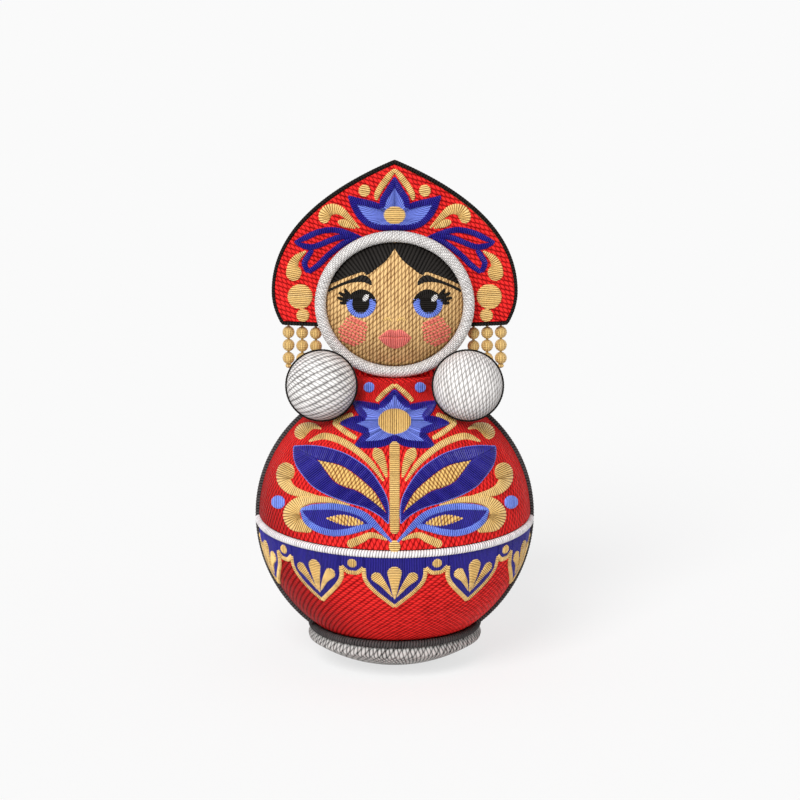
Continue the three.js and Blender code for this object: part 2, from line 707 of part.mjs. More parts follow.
function ballast() {
  const hole = BOLT_RADIUS + FIT_GAP;
  const recess = BOSS_RADIUS + FIT_GAP;
  const start = deg(Math.asin(recess / BALLAST_RADIUS));
  return turnedRing(
    [
      ...arc(BALLAST_RADIUS, start, angleAt(BALLAST_RADIUS, BALLAST_TOP)),
      [hole, BALLAST_TOP],
      [hole, BOSS_TOP + FIT_GAP],
      [recess, BOSS_TOP + FIT_GAP],
    ],
    BODY_SEGMENTS,
  );
}

function ballastBolt() {
  const tip = BOSS_BOTTOM + FIT_GAP;
  const top = BOLT_HEAD_BOTTOM + BOLT_HEAD_HEIGHT;
  return turned(
    [
      [0, tip],
      [BOLT_RADIUS, tip],
      [BOLT_RADIUS, BOLT_HEAD_BOTTOM],
      [BOLT_HEAD_RADIUS, BOLT_HEAD_BOTTOM],
      [BOLT_HEAD_RADIUS, top],
      [0, top],
    ],
    SMALL_SEGMENTS,
  );
}

const ROD_PLACES = [
  [-ROD_SIDE, -ROD_SPREAD],
  [ROD_SIDE, -ROD_SPREAD],
  [ROD_SIDE, ROD_SPREAD],
  [-ROD_SIDE, ROD_SPREAD],
];

/** A leg of the bridge, wider by a clearance where it makes its own slot. */
function bridgeLeg(side, grow) {
  const middle = (side * BRIDGE_SPAN) / 2;
  const halfLeg = BRIDGE_LEG / 2 + grow;
  const halfWidth = BRIDGE_WIDTH / 2 + grow;
  const bottom = PLATE_BOTTOM - grow;
  return block([-halfWidth, middle - halfLeg, bottom], [halfWidth, middle + halfLeg, PIVOT_Z]);
}

function chimePlate() {
  const rodHoles = ROD_PLACES.map(([x, y]) =>
    bar(ROD_RADIUS + FIT_GAP, PLATE_BOTTOM - FIT_GAP, PLATE_TOP + FIT_GAP).translate(x, y, 0),
  );
  return cut(
    bar(PLATE_RADIUS, PLATE_BOTTOM, PLATE_TOP, BODY_SEGMENTS),
    bar(BOLT_RADIUS + FIT_GAP, PLATE_BOTTOM - FIT_GAP, PLATE_TOP + FIT_GAP),
    ...rodHoles,
    bridgeLeg(-1, FIT_GAP),
    bridgeLeg(1, FIT_GAP),
  );
}

const PIN_HALF = (BRIDGE_SPAN + BRIDGE_LEG) / 2;

/** A round bar along Y through the pivot of the clapper. */
function pivotBar(radius, half) {
  const along = bar(radius, -half, half).rotateX(Math.PI / 2);
  return along.translate(0, 0, PIVOT_Z);
}

/** Two legs and a beam, with a slot for the clapper's eye and a bore for the pin. */
function chimeBridge() {
  const width = BRIDGE_WIDTH / 2;
  const slot = EYE_WIDTH / 2 + FIT_GAP;
  const bottom = PIVOT_Z - PIN_RADIUS - FIT_GAP - BRIDGE_CHEEK;
  const slotTop = PIVOT_Z + EYE_RADIUS + FIT_GAP;
  const beam = block([-width, -PIN_HALF, bottom], [width, PIN_HALF, slotTop + BRIDGE_CAP]);
  const room = block([-2 * width, -slot, bottom - BRIDGE_CHEEK], [2 * width, slot, slotTop]);
  const bore = pivotBar(PIN_RADIUS + FIT_GAP, 2 * PIN_HALF);
  return cut(join(beam, bridgeLeg(-1, 0), bridgeLeg(1, 0)), room, bore);
}

function clapper() {
  const profile = arc(CLAPPER_BALL_RADIUS, 0, 180, SMALL_ARC_STEP);
  const ball = turned(profile, SMALL_SEGMENTS).translate(0, 0, BALL_Z);
  const stem = bar(CLAPPER_ROD_RADIUS, BALL_Z, PIVOT_Z - PIN_RADIUS - FIT_GAP, CORD_SIDES);
  const eye = pivotBar(EYE_RADIUS, EYE_WIDTH / 2);
  return cut(join(ball, stem, eye), pivotBar(PIN_RADIUS + FIT_GAP, EYE_WIDTH));
}

// Assembly

/** Adds a named piece to a group. */
function add(group, name, geometry, finish) {
  const [color, roughness, metalness] = FINISHES[finish];
  const clean = geometryOf(solidOf(geometry));
  clean.computeVertexNormals();
  const mesh = new THREE.Mesh(clean, new THREE.MeshStandardMaterial({ color, roughness, metalness }));
  mesh.name = name;
  group.add(mesh);
  return mesh;
}

function bodyGroup() {
  const group = new THREE.Group();
  add(group, "rocker_foot", rockerFoot(), "grey_foot");
  add(group, "foot_cord", footCord(), "black_cord");
  add(group, "base_bowl", baseBowl(), "plastic");
  add(group, "upper_shell", upperShell(), "plastic");
  const pegHoles = HANDS.map((hand) => pegHole(hand));
  const sides = [["front", -1, pegHoles], ["back", 1, []]];
  for (const [name, side, holes] of sides) {
    add(group, `lower_${name}_panel`, panel(lowerCover(), side, SEAM_LEAN), "red_cloth");
    const upper = panel(upperCover(), side, 0, ...headSeat(), ...holes);
    add(group, `upper_${name}_panel`, upper, "red_cloth");
    add(group, `belt_cord_${name}`, beltHalf(side), "white_cord");
  }
  add(group, "left_side_cord", sideCord(-1), "black_cord");
  add(group, "right_side_cord", sideCord(1), "black_cord");
  const dowel = bar(DOWEL_RADIUS, HOOD_BOTTOM - DOWEL_TAIL, HOOD_BOTTOM + DOWEL_REACH, HEAD_SEGMENTS);
  add(group, "neck_dowel", dowel, "wood");
  for (const hand of HANDS) {
    add(group, `${hand.name}_hand`, handBall(hand), "hand_cloth").position.copy(hand.centre);
    const seam = add(group, `${hand.name}_hand_seam`, handSeam(HAND_SEAM_RADIUS), "black_cord");
    seam.position.copy(hand.centre);
    add(group, `${hand.name}_hand_peg`, handPeg(hand), "plastic");
  }
  return group;
}

function chimeGroup() {
  const group = new THREE.Group();
  add(group, "ballast_weight", ballast(), "iron");
  add(group, "ballast_bolt", ballastBolt(), "steel");
  add(group, "chime_plate", chimePlate(), "plastic");
  ROD_PLACES.forEach(([x, y], i) => {
    const rod = bar(ROD_RADIUS, PLATE_BOTTOM, PLATE_TOP + ROD_LENGTHS[i], CORD_SIDES);
    add(group, `tone_rod_${i + 1}`, rod, "brass").position.set(x, y, 0);
  });
  add(group, "chime_bridge", chimeBridge(), "plastic");
  add(group, "clapper_pin", pivotBar(PIN_RADIUS, PIN_HALF), "steel");
  add(group, "clapper", clapper(), "brass");
  return group;
}

function headGroup() {
  const group = new THREE.Group();
  add(group, "hood_shell", hoodShell(), "red_cloth");
  add(group, "face_plate", facePlate(), "face_cloth");
  add(group, "face_ring", faceRing(), "white_cord");
  add(group, "headdress_front", crestPiece(CREST_CURVE_RADIUS, BOARD_FRONT + FIT_GAP), "red_cloth");
  add(group, "headdress_board", crestPiece(BOARD_FRONT, BOARD_BACK), "board");
  add(group, "headdress_lining", crestPiece(LINING_FRONT, LINING_BACK), "red_cloth");
  add(group, "headdress_edging", crestEdging(), "black_cord");
  for (const [name, side] of [["left", -1], ["right", 1]]) {
    for (let number = 0; number < STRINGS_PER_SIDE; number += 1) {
      const string = new THREE.Group();
      const label = `${name}_string_${number + 1}`;
      string.position.set(...stringPlace(side, number));
      add(string, `${label}_thread`, stringThread(), "gold_thread");
      for (let i = 0; i < BEADS_PER_STRING; i += 1) {
        const drop = -FIT_GAP - BEAD_RADIUS - i * BEAD_PITCH;
        add(string, `${label}_bead_${i + 1}`, bead(), "gold_thread").position.set(0, 0, drop);
      }
      group.add(string);
    }
  }
  group.position.set(0, 0, HEAD_Z);
  return group;
}

const doll = new THREE.Group();
doll.add(bodyGroup(), chimeGroup(), headGroup());
doll.position.set(0, 0, BODY_CENTRE);

export default doll;
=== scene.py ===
"""Looks of the roly-poly doll: stitched cloth, wound cords and raised thread ornament.

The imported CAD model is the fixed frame. Lengths here are millimetres until a mesh is made.
Ornament is drawn on a flat pattern sheet that faces the viewer, tilted back by the viewing
angle, and is carried along the view direction onto the surface that it decorates.
"""

from __future__ import annotations

import logging
import math
from dataclasses import dataclass, field
from enum import Enum
from typing import Protocol

import bmesh
import bpy
import numpy as np
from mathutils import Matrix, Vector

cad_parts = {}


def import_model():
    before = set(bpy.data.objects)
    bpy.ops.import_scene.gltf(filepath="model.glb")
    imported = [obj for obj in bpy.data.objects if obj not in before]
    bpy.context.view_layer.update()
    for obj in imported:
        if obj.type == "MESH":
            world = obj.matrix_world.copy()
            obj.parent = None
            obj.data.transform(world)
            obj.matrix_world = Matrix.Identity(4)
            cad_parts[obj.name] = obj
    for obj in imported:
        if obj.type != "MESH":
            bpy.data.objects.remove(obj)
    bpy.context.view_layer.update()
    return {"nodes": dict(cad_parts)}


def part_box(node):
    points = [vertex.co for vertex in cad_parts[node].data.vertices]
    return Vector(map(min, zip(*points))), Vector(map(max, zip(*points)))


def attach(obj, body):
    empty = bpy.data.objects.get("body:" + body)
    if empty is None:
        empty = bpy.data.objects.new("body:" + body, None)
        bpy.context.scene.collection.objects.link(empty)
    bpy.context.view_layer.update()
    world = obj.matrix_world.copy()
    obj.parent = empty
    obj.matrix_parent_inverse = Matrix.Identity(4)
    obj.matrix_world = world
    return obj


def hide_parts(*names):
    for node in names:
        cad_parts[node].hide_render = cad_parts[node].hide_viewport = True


LOG = logging.getLogger("roly_poly_doll")

METRE = 0.001
VIEW_TILT = math.radians(15.0)
SHEET_UNIT = 0.30
THREAD_MAP = "threads"
DOLL = "doll"
TINY = 1e-9
SIGHT_STEPS = 160
SIGHT_HALVINGS = 16
SLOPE_STEP = 0.01
SPAN_POINTS = 24
LEAST_STEPS = 10
ROUND_COLUMNS = 160
CREASE = math.radians(55.0)

STITCH_STEP = 0.14
STITCH_SINK = 0.25
SHOULDER = 0.5
TOOTH = 0.10
TOOTH_SHARE = 0.12
GROOVE_SHARE = 0.38
END_SHARE = 0.7
LEAST_RISE = 0.10
RISE_SHARE = 0.35
WIDE_SPAN = 3.0

STITCH_DIP = 0.7
FIBRE_STRETCH = (0.9, 7.0, 1.0)
FIBRE_HEIGHT = 0.25
GAP_LEVEL = -0.34
CHANCE_SHARE = 0.7
SHEEN_RANGE = 0.16
BUMP_STRENGTH = 0.85

Array = np.ndarray
Points = tuple[tuple[float, ...], ...]
Colour = tuple[float, float, float]

ACROSS = np.array((1.0, 0.0, 0.0))
FORWARD = np.array((0.0, -1.0, 0.0))
UPWARD = np.array((0.0, 0.0, 1.0))
SHEET_UP = np.array((0.0, math.sin(VIEW_TILT), math.cos(VIEW_TILT)))
TO_VIEWER = np.array((0.0, -math.cos(VIEW_TILT), math.sin(VIEW_TILT)))


def linear(red: int, green: int, blue: int) -> Colour:
    """Turns a display colour of 0 to 255 into linear light.

    Args:
        red: red display level.
        green: green display level.
        blue: blue display level.

    Returns:
        The three linear levels from 0 to 1.
    """
    level = np.array((red, green, blue)) / 255.0
    bent = np.where(level > 0.04045, ((level + 0.055) / 1.055) ** 2.4, level / 12.92)
    return tuple(float(x) for x in bent)


def run_length(line: Array) -> Array:
    """Returns the distance along a line at each of its points."""
    return np.append(0.0, np.cumsum(np.linalg.norm(np.diff(line, axis=0), axis=1)))


def unit(vectors: Array) -> Array:
    """Returns vectors of length one in the same directions."""
    return vectors / np.maximum(np.linalg.norm(vectors, axis=-1, keepdims=True), TINY)


class Shade(Enum):
    """Thread colours: the gap's first, darkened with painted shade, and the lit ridge's second,
    with painted highlight.
    """

    RED = (linear(122, 4, 6), linear(252, 50, 48))
    # Painted shade for the red covers' lower left side.
    PAINTED_SHADE_RED = (linear(60, 2, 2), linear(190, 34, 36))
    BLACK = (linear(4, 3, 3), linear(42, 39, 37))
    CORD = (linear(12, 10, 10), linear(84, 80, 80))
    WHITE = (linear(104, 100, 98), linear(252, 249, 247))
    PALE = (linear(148, 143, 140), linear(253, 250, 248))
    BELT_WHITE = (linear(136, 128, 132), linear(253, 249, 250))
    # Painted shadow grey: the foot's thread and the hands' undersides.
    SHADOW_GREY = (linear(38, 37, 36), linear(208, 205, 202))
    TAN = (linear(118, 74, 34), linear(244, 202, 140))
    GOLD = (linear(116, 66, 22), linear(250, 210, 132))
    AMBER = (linear(116, 48, 22), linear(250, 206, 124))
    BLUE = (linear(6, 3, 62), linear(46, 38, 152))
    SKY = (linear(40, 52, 148), linear(126, 152, 246))
    PETAL = (linear(30, 40, 136), linear(130, 148, 240))
    PINK = (linear(190, 96, 72), linear(238, 126, 112))
    ROSE = (linear(176, 70, 64), linear(252, 140, 130))

    def opaque(self) -> tuple[tuple[float, ...], ...]:
        """Returns both colours with an opacity of one."""
        return tuple((*colour, 1.0) for colour in self.value)


class Pattern(Enum):
    """How stitches lie: thread pitch, stitch length, row step, fall in degrees, cut's slant."""

    SATIN = (0.56, 60.0, 0.0, 90.0, 0.0)
    LOOSE = (1.10, 60.0, 0.0, 90.0, 0.0)
    WOUND = (0.87, 60.0, 0.0, 90.0, 0.0)
    SPECKLED = (0.62, 1.15, 0.37, 90.0, 0.0)
    SEED = (0.95, 1.5, 0.5, 90.0, 0.3)
    TWILL_RISING = (1.6, 1.3, 0.41, -40.0, 0.45)
    TWILL_FALLING = (1.5, 1.5, 0.41, 66.0, 0.45)
    RIDGES = (1.35, 1.4, 0.41, 16.0, 0.45)
    RIBS = (1.07, 1.8, 0.5, 90.0, 0.4)
    HAND_LEFT = (2.0, 1.2, 0.5, -28.0, 0.5)
    HAND_RIGHT = (1.25, 1.9, 0.41, 80.0, 0.4)
    RADIAL = (1.25, 2.4, 0.38, 76.0, 0.3)


class Surface(Protocol):
    """A surface that flat pattern points can be carried onto."""

    def place(self, flat: Array, lift: Array) -> Array:
        """Returns the points above flat pattern points, raised by lift."""


@dataclass(frozen=True)
class NeckedBallSurface:
    """A ball with a neck, seen by the pattern sheet; the sheet's origin is the ball's centre."""

    centre: float
    radius: float
    neck: float
    fillet: float

    def girth(self, height: Array) -> Array:
        """Returns the radius round the axis at heights above the ball's centre.

        The ball's is the root of radius squared less height squared, the hollow's is its
        centre's distance less its own root, and the neck's stays the same.

        Args:
            height: heights above the ball's centre.

        Returns:
            The radius at each height.
        """
        reach = self.neck + self.fillet
        top = math.sqrt((self.radius + self.fillet) ** 2 - reach**2)
        meet = top * self.radius / (self.radius + self.fillet)
        ball = np.sqrt(np.maximum(self.radius**2 - height**2, 0.0))
        hollow = reach - np.sqrt(np.maximum(self.fillet**2 - (height - top) ** 2, 0.0))
        return np.where(height < meet, ball, np.where(height < top, hollow, self.neck))

    def within(self, spot: Array) -> Array:
        """Returns whether points about the centre lie inside."""
        return np.hypot(spot[..., 0], spot[..., 1]) <= self.girth(spot[..., 2])

    def place(self, flat: Array, lift: Array) -> Array:
        """Carries sheet points to where the line of sight first meets the ball or its neck.

        Steps along the line find the first point inside, and halving finds the surface.

        Args:
            flat: sheet points, last axis across and up.
            lift: height above the surface, one value a point.

        Returns:
            The raised points.
        """
        reach = np.linalg.norm(flat, axis=-1, keepdims=True)
        flat = flat * np.minimum(1.0, 0.999 * self.radius / np.maximum(reach, 1e-6))
        base = flat[..., :1] * ACROSS + flat[..., 1:] * SHEET_UP
        marks = np.linspace(self.radius + 1.0, 0.0, SIGHT_STEPS)
        first = np.argmax(self.within(base[..., None, :] + marks[:, None] * TO_VIEWER), axis=-1)
        near, deep = marks[np.maximum(first - 1, 0)], marks[first]
        for _ in range(SIGHT_HALVINGS):
            middle = (near + deep) / 2
            inside = self.within(base + middle[..., None] * TO_VIEWER)
            near, deep = np.where(inside, near, middle), np.where(inside, middle, deep)
        spot = base + deep[..., None] * TO_VIEWER
        fall = self.girth(spot[..., 2] - SLOPE_STEP) - self.girth(spot[..., 2] + SLOPE_STEP)
        slope = fall[..., None] / (2 * SLOPE_STEP)
        girth = np.hypot(spot[..., 0], spot[..., 1])[..., None]
        out = unit(np.concatenate((spot[..., :2] / girth, slope), axis=-1))
        return spot + out * lift[..., None] + self.centre * UPWARD


@dataclass(frozen=True)
class BandSurface:
    """A ball unrolled round its equator: across is arc round it, up is arc above it."""

    centre: float
    radius: float
    azimuth: float = 0.0

    def place(self, flat: Array, lift: Array) -> Array:
        """Carries band points to the ball by azimuth and latitude.

        Args:
            flat: band points, last axis arc round and arc up.
            lift: height above the ball, one value a point.

        Returns:
            The raised points.
        """
        turn = flat[..., 0] / self.radius + self.azimuth
        rise = flat[..., 1] / self.radius
        away = np.stack(
            (np.cos(rise) * np.sin(turn), -np.cos(rise) * np.cos(turn), np.sin(rise)), axis=-1
        )
        return away * (self.radius + lift)[..., None] + self.centre * UPWARD


@dataclass(frozen=True)
class CrestSurface:
    """The front of the headdress: an upright cylinder swept back towards its sides."""

    radius: float
    front: float
    centre: float
    base: float

    def depth(self, across: Array) -> Array:
        """Returns y on the front: the axis less the root of radius squared less x squared."""
        return self.front + self.radius - np.sqrt(self.radius**2 - across**2)

    def place(self, flat: Array, lift: Array) -> Array:
        """Carries sheet points, drawn about the head's place on the sheet, to the front.

        Args:
            flat: sheet points, last axis across and up.
            lift: height above the front, one value a point.

        Returns:
            The raised points.
        """
        across, rise = flat[..., 0], flat[..., 1] + self.base
        depth = self.depth(across)
        reach = (rise * SHEET_UP[1] - depth) / -TO_VIEWER[1]
        height = rise * SHEET_UP[2] + reach * TO_VIEWER[2] + self.centre
        axis = self.front + self.radius
        out = np.stack((across, depth - axis, np.zeros_like(across)), axis=-1) / self.radius
        return np.stack((across, depth, height), axis=-1) + out * lift[..., None]


@dataclass(frozen=True)
class FaceSurface:
    """The domed face: part of a ball, flattened from top to bottom by the head's aspect."""

    radius: float
    middle: float
    aspect: float
    head: float
    centre: float
    base: float

    def place(self, flat: Array, lift: Array) -> Array:
        """Carries sheet points to the dome, where the line of sight meets the flattened ball.

        Args:
            flat: sheet points, last axis across and up.
            lift: height above the dome, one value a point.

        Returns:
            The raised points.
        """
        across, rise = flat[..., 0], flat[..., 1] + self.base
        sine, cosine = TO_VIEWER[2], -TO_VIEWER[1]
        low = rise * SHEET_UP[2] + self.centre - self.head
        back = rise * SHEET_UP[1] - self.middle
        square = sine**2 / self.aspect**2 + cosine**2
        half = low * sine / self.aspect**2 - back * cosine
        rest = across**2 + low**2 / self.aspect**2 + back**2 - self.radius**2
        reach = (-half + np.sqrt(np.maximum(half**2 - square * rest, 0.0))) / square
        deep, high = back - reach * cosine, low + reach * sine
        out = unit(np.stack((across, deep, high / self.aspect**2), axis=-1))
        spot = np.stack((across, deep + self.middle, high + self.head), axis=-1)
        return spot + out * lift[..., None]


def smooth_line(points: Points | Array, step: float) -> Array:
    """Draws a smooth line through points and spaces its points evenly.

    Each span is the cubic whose slope at a point is half the step between its neighbours.

    Args:
        points: the points to pass through, of any number of columns.
        step: the spacing wanted along the line.

    Returns:
        The evenly spaced points.
    """
    spots = np.asarray(points, float)
    if len(spots) > 2:
        held = np.vstack((2 * spots[0] - spots[1], spots, 2 * spots[-1] - spots[-2]))
        run = np.linspace(0, 1, SPAN_POINTS, endpoint=False)[None, :, None]
        a, b, c, d = held[:-3, None], held[1:-2, None], held[2:-1, None], held[3:, None]
        bend = (2 * a - 5 * b + 4 * c - d) * run**2 + (3 * b - a - 3 * c + d) * run**3
        dense = (b + 0.5 * ((c - a) * run + bend)).reshape(-1, spots.shape[1])
        spots = np.vstack((dense, spots[-1:]))
    count = max(int(round(run_length(spots[:, :2])[-1] / step)), LEAST_STEPS) + 1
    return respace(spots, count)


def respace(line: Array, count: int) -> Array:
    """Spaces count points evenly along a line by its own length.

    Args:
        line: the line's points.
        count: the number of points wanted.

    Returns:
        The evenly spaced points.
    """
    length = run_length(line[:, :2])
    marks = np.linspace(0.0, length[-1], count)
    return np.column_stack([np.interp(marks, length, column) for column in line.T])


def oval_arc(
    middle: tuple[float, float],
    radii: tuple[float, float],
    turns: tuple[float, float],
    count: int,
) -> Points:
    """Draws part of an oval on the sheet.

    Args:
        middle: the oval's middle.
        radii: its radii across and up.
        turns: the first and last angle, in half turns from the right.
        count: the number of points.

    Returns:
        The points.
    """
    angle = np.pi * np.linspace(*turns, count)
    spots = np.column_stack((np.cos(angle), np.sin(angle))) * radii + middle
    return tuple(tuple(spot) for spot in spots.tolist())


@dataclass(frozen=True)
class Column:
    """A satin column: stitches laid square across a line of changing width, in sheet units."""

    spine: Points
    widths: tuple[float, ...]
    mirrored: bool = True
    rounded: bool = True

    def edges(self, scale: float) -> tuple[Array, Array]:
        """Returns the two long edges: the spine moved half a width to each side.

        A rounded end narrows as a half circle does over its last half width.

        Args:
            scale: millimetres in one sheet unit.

        Returns:
            Both edges' points.
        """
        line = np.column_stack((np.asarray(self.spine), self.widths)) * scale
        line = smooth_line(line, STITCH_STEP)
        if self.rounded:
            run = run_length(line[:, :2])
            left = np.minimum(run, run[-1] - run) / np.maximum(line[:, 2] / 2, 1e-6)
            line[:, 2] *= np.sqrt(np.clip(1 - (1 - np.minimum(left, 1.0)) ** 2, 0.02, 1.0))
        along = unit(np.gradient(line[:, :2], axis=0))
        side = np.column_stack((-along[:, 1], along[:, 0])) * line[:, 2:] / 2
        return line[:, :2] - side, line[:, :2] + side


@dataclass(frozen=True)
class Fill:
    """Stitches laid from one edge to the other, in sheet units."""

    one: Points
    other: Points
    mirrored: bool = True

    def edges(self, scale: float) -> tuple[Array, Array]:
        """Returns both edges, smoothed and given as many points as the longer one needs."""
        one = smooth_line(np.asarray(self.one) * scale, STITCH_STEP)
        other = smooth_line(np.asarray(self.other) * scale, STITCH_STEP)
        count = max(len(one), len(other))
        return respace(one, count), respace(other, count)


@dataclass(frozen=True)
class Disc:
    """An oval of parallel stitches, in sheet units, with the turn of its stitches in degrees."""

    centre: tuple[float, float]
    radii: tuple[float, float]
    turn: float = 0.0
    mirrored: bool = True

    def edges(self, scale: float) -> tuple[Array, Array]:
        """Returns the oval's two halves, which the stitches run between."""
        sweep = np.linspace(0.03, 0.97, max(int(2 * max(self.radii) * scale / STITCH_STEP), 16))
        turn = math.radians(self.turn)
        arms = np.array(((math.cos(turn), math.sin(turn)), (-math.sin(turn), math.cos(turn))))
        half = np.column_stack((-np.cos(np.pi * sweep), np.sin(np.pi * sweep)))
        size, middle = np.asarray(self.radii) * scale, np.asarray(self.centre) * scale
        lower = (half * (1.0, -1.0)) @ arms * size + middle
        return lower, half @ arms * size + middle


Motif = Column | Fill | Disc


def mirror(edges: tuple[Array, Array]) -> tuple[Array, Array]:
    """Returns both edges on the other side of the doll's middle line."""
    return edges[0] * (-1.0, 1.0), edges[1] * (-1.0, 1.0)


class Patchwork:
    """Surfaces gathered into one closed mesh."""

    def __init__(self) -> None:
        """Starts with nothing in it."""
        self.points: list[Array] = []
        self.quads: list[Array] = []
        self.maps: list[Array] = []
        self.caps: list[list[int]] = []
        self.count = 0

    def keep(self, points: Array) -> Array:
        """Adds a grid of points and returns the grid of their numbers."""
        rows, columns = points.shape[:2]
        index = self.count + np.arange(rows * columns).reshape(rows, columns)
        self.points.append(points.reshape(-1, 3))
        self.count += rows * columns
        return index

    def weave(
        self, index: Array, flat: Array, ring: bool = False, loop: bool = False
    ) -> None:
        """Joins a grid of point numbers with quads.

        Args:
            index: point numbers in rows and columns.
            flat: pattern coordinates, with one more row or column where the grid closes.
            ring: whether the last column joins the first.
            loop: whether the last row joins the first.
        """
        index = np.vstack((index, index[:1])) if loop else index
        index = np.hstack((index, index[:, :1])) if ring else index
        corners = [np.s_[:-1, :-1], np.s_[1:, :-1], np.s_[1:, 1:], np.s_[:-1, 1:]]
        self.quads.append(np.stack([index[c] for c in corners], axis=-1).reshape(-1, 4))
        self.maps.append(np.stack([flat[c] for c in corners], axis=-2).reshape(-1, 4, 2))

    def add_tube(self, points: Array, flat: Array, loop: bool = False) -> None:
        """Adds rows of ring sections, closed at both ends or joined into a loop.

        Args:
            points: rows of section points.
            flat: pattern coordinates with the seam column, and the seam row on a loop.
            loop: whether the tube closes on itself.
        """
        index = self.keep(points)
        self.weave(index, flat, ring=True, loop=loop)
        if not loop:
            self.caps += [index[0].tolist(), index[-1].tolist()]

    def add_slab(self, outer: Array, inner: Array, flat: Array) -> None:
        """Adds a sheet with thickness: two like grids joined round their border.

        Args:
            outer: the outer grid of points.
            inner: the inner grid of points.
            flat: pattern coordinates of both grids.
        """
        top, low = self.keep(outer), self.keep(inner)
        self.weave(top, flat)
        self.weave(low, flat)
        for edge in (np.s_[0, :], np.s_[-1, :], np.s_[:, 0], np.s_[:, -1]):
            self.weave(np.stack((top[edge], low[edge])), np.stack((flat[edge], flat[edge])))

    def add_stitches(
        self, surface: Surface, edges: tuple[Array, Array], height: float, pitch: float
    ) -> None:
        """Adds a raised patch of stitches between two edges on a surface.

        Its height is a crown with round shoulders, less a groove between one thread and
        the next, and its edges step in and out with the threads.

        Args:
            surface: what the patch lies on.
            edges: the two long edges on the pattern sheet.
            height: the crown's height above the surface.
            pitch: the width of one thread.
        """
        one, other = edges
        run = run_length((one + other) / 2)
        run *= max(round(run[-1] / pitch), 1) * pitch / max(run[-1], TINY)
        groove = 0.5 + 0.5 * np.cos(2 * np.pi * run / pitch)
        span = np.linalg.norm(other - one, axis=1)
        tooth = np.minimum(TOOTH, TOOTH_SHARE * span) * (0.5 - groove)
        reach = (other - one) / np.maximum(span, 1e-6)[:, None] * tooth[:, None]
        one, other = one - reach, other + reach
        count = 9 if span.max() < WIDE_SPAN else 13
        across = 0.5 - 0.5 * np.cos(np.linspace(0.0, np.pi, count))
        flat = one[:, None] * (1 - across)[:, None] + other[:, None] * across[:, None]
        shoulder = np.clip(span / 2, 0.01, SHOULDER)[:, None]
        near = np.minimum(across, 1 - across) * span[:, None] / shoulder
        crown = np.sqrt(1 - (1 - np.minimum(near, 1.0)) ** 2)
        left = np.minimum(run, run[-1] - run)
        ends = np.sqrt(np.clip(left / (END_SHARE * pitch), 0.0, 1.0))
        rise = np.minimum(height, LEAST_RISE + RISE_SHARE * span)
        rise = rise * ends * (1 - GROOVE_SHARE * groove)
        lift = -STITCH_SINK + (rise[:, None] + STITCH_SINK) * crown
        points = surface.place(flat, lift)
        mapped = np.stack(np.broadcast_arrays(run[:, None], span[:, None] * across), axis=-1)
        index = self.keep(points)
        self.weave(index, mapped)
        self.weave(index[:, [0, -1]], mapped[:, [0, -1]])
        self.caps += [index[0].tolist(), index[-1].tolist()]

    def add_motif(
        self, surface: Surface, motif: Motif, scale: float, height: float, pitch: float
    ) -> None:
        """Adds a motif's stitches, and its mirror image's where it has one.

        Args:
            surface: what the motif lies on.
            motif: what is sewn.
            scale: millimetres in one unit of the motif.
            height: the stitches' height.
            pitch: the width of one thread.
        """
        edges = motif.edges(scale)
        self.add_stitches(surface, edges, height, pitch)
        if motif.mirrored:
            self.add_stitches(surface, mirror(edges), height, pitch)

    def mesh(self, name: str) -> bpy.types.Mesh:
        """Makes the Blender mesh, with faces turned outwards and rounded shading.

        Args:
            name: the mesh's name.

        Returns:
            The new mesh, in metres.
        """
        quads = np.concatenate(self.quads)
        flat = np.concatenate(self.maps).reshape(-1, 2)
        points = np.concatenate(self.points) * METRE
        made = bpy.data.meshes.new(name)
        made.from_pydata(points.tolist(), [], quads.tolist() + self.caps)
        blank = np.zeros((sum(len(cap) for cap in self.caps), 2))
        layer = made.uv_layers.new(name=THREAD_MAP)
        layer.data.foreach_set("uv", np.concatenate((flat, blank)).astype(np.float32).ravel())
        work = bmesh.new()
        work.from_mesh(made)
        bmesh.ops.recalc_face_normals(work, faces=work.faces)
        work.to_mesh(made)
        work.free()
        made.polygons.foreach_set("use_smooth", np.ones(len(made.polygons), bool))
        made.set_sharp_from_angle(angle=CREASE)
        return made


@dataclass(frozen=True)
class Axes:
    """A turned piece's place: its origin, its axis and the two arms of its section."""

    origin: Array
    axis: Array
    arm: Array
    other_arm: Array


class Spread(Enum):
    """How a turned piece's pattern lies: wrapped round it, or spread from its first pole."""

    WRAPPED = 0
    FROM_POLE = 1


def turned(profile: Array, axes: Axes, count: int, spread: Spread) -> Patchwork:
    """Turns a profile about an axis.

    A point is the origin, plus the height along the axis, plus the radius times an arm
    that goes round by cosine and sine.

    Args:
        profile: rows of radius and height, from the first pole to the last.
        axes: where the piece stands.
        count: the number of columns round it.
        spread: how the pattern lies.

    Returns:
        The closed surface.
    """
    sweep = np.linspace(0.0, 2 * np.pi, count + 1)
    round_arm = np.cos(sweep)[:, None] * axes.arm + np.sin(sweep)[:, None] * axes.other_arm
    points = axes.origin + profile[:, 1, None, None] * axes.axis
    points = points + profile[:, 0, None, None] * round_arm[None, :-1]
    run = run_length(profile)
    if spread is Spread.WRAPPED:
        flat = np.stack(np.meshgrid(sweep * profile[:, 0].max(), run), axis=-1)
    else:
        flat = run[:, None, None] * np.stack((np.cos(sweep), np.sin(sweep)), axis=-1)
    work = Patchwork()
    work.add_tube(points, flat)
    return work


@dataclass(frozen=True)
class Winding:
    """A wound cord's section: half width, half depth, thread pitch and groove depth."""

    width: float
    depth: float
    pitch: float = 0.87
    groove: float = 0.10
    sides: int = 18
    squareness: float = 1.0


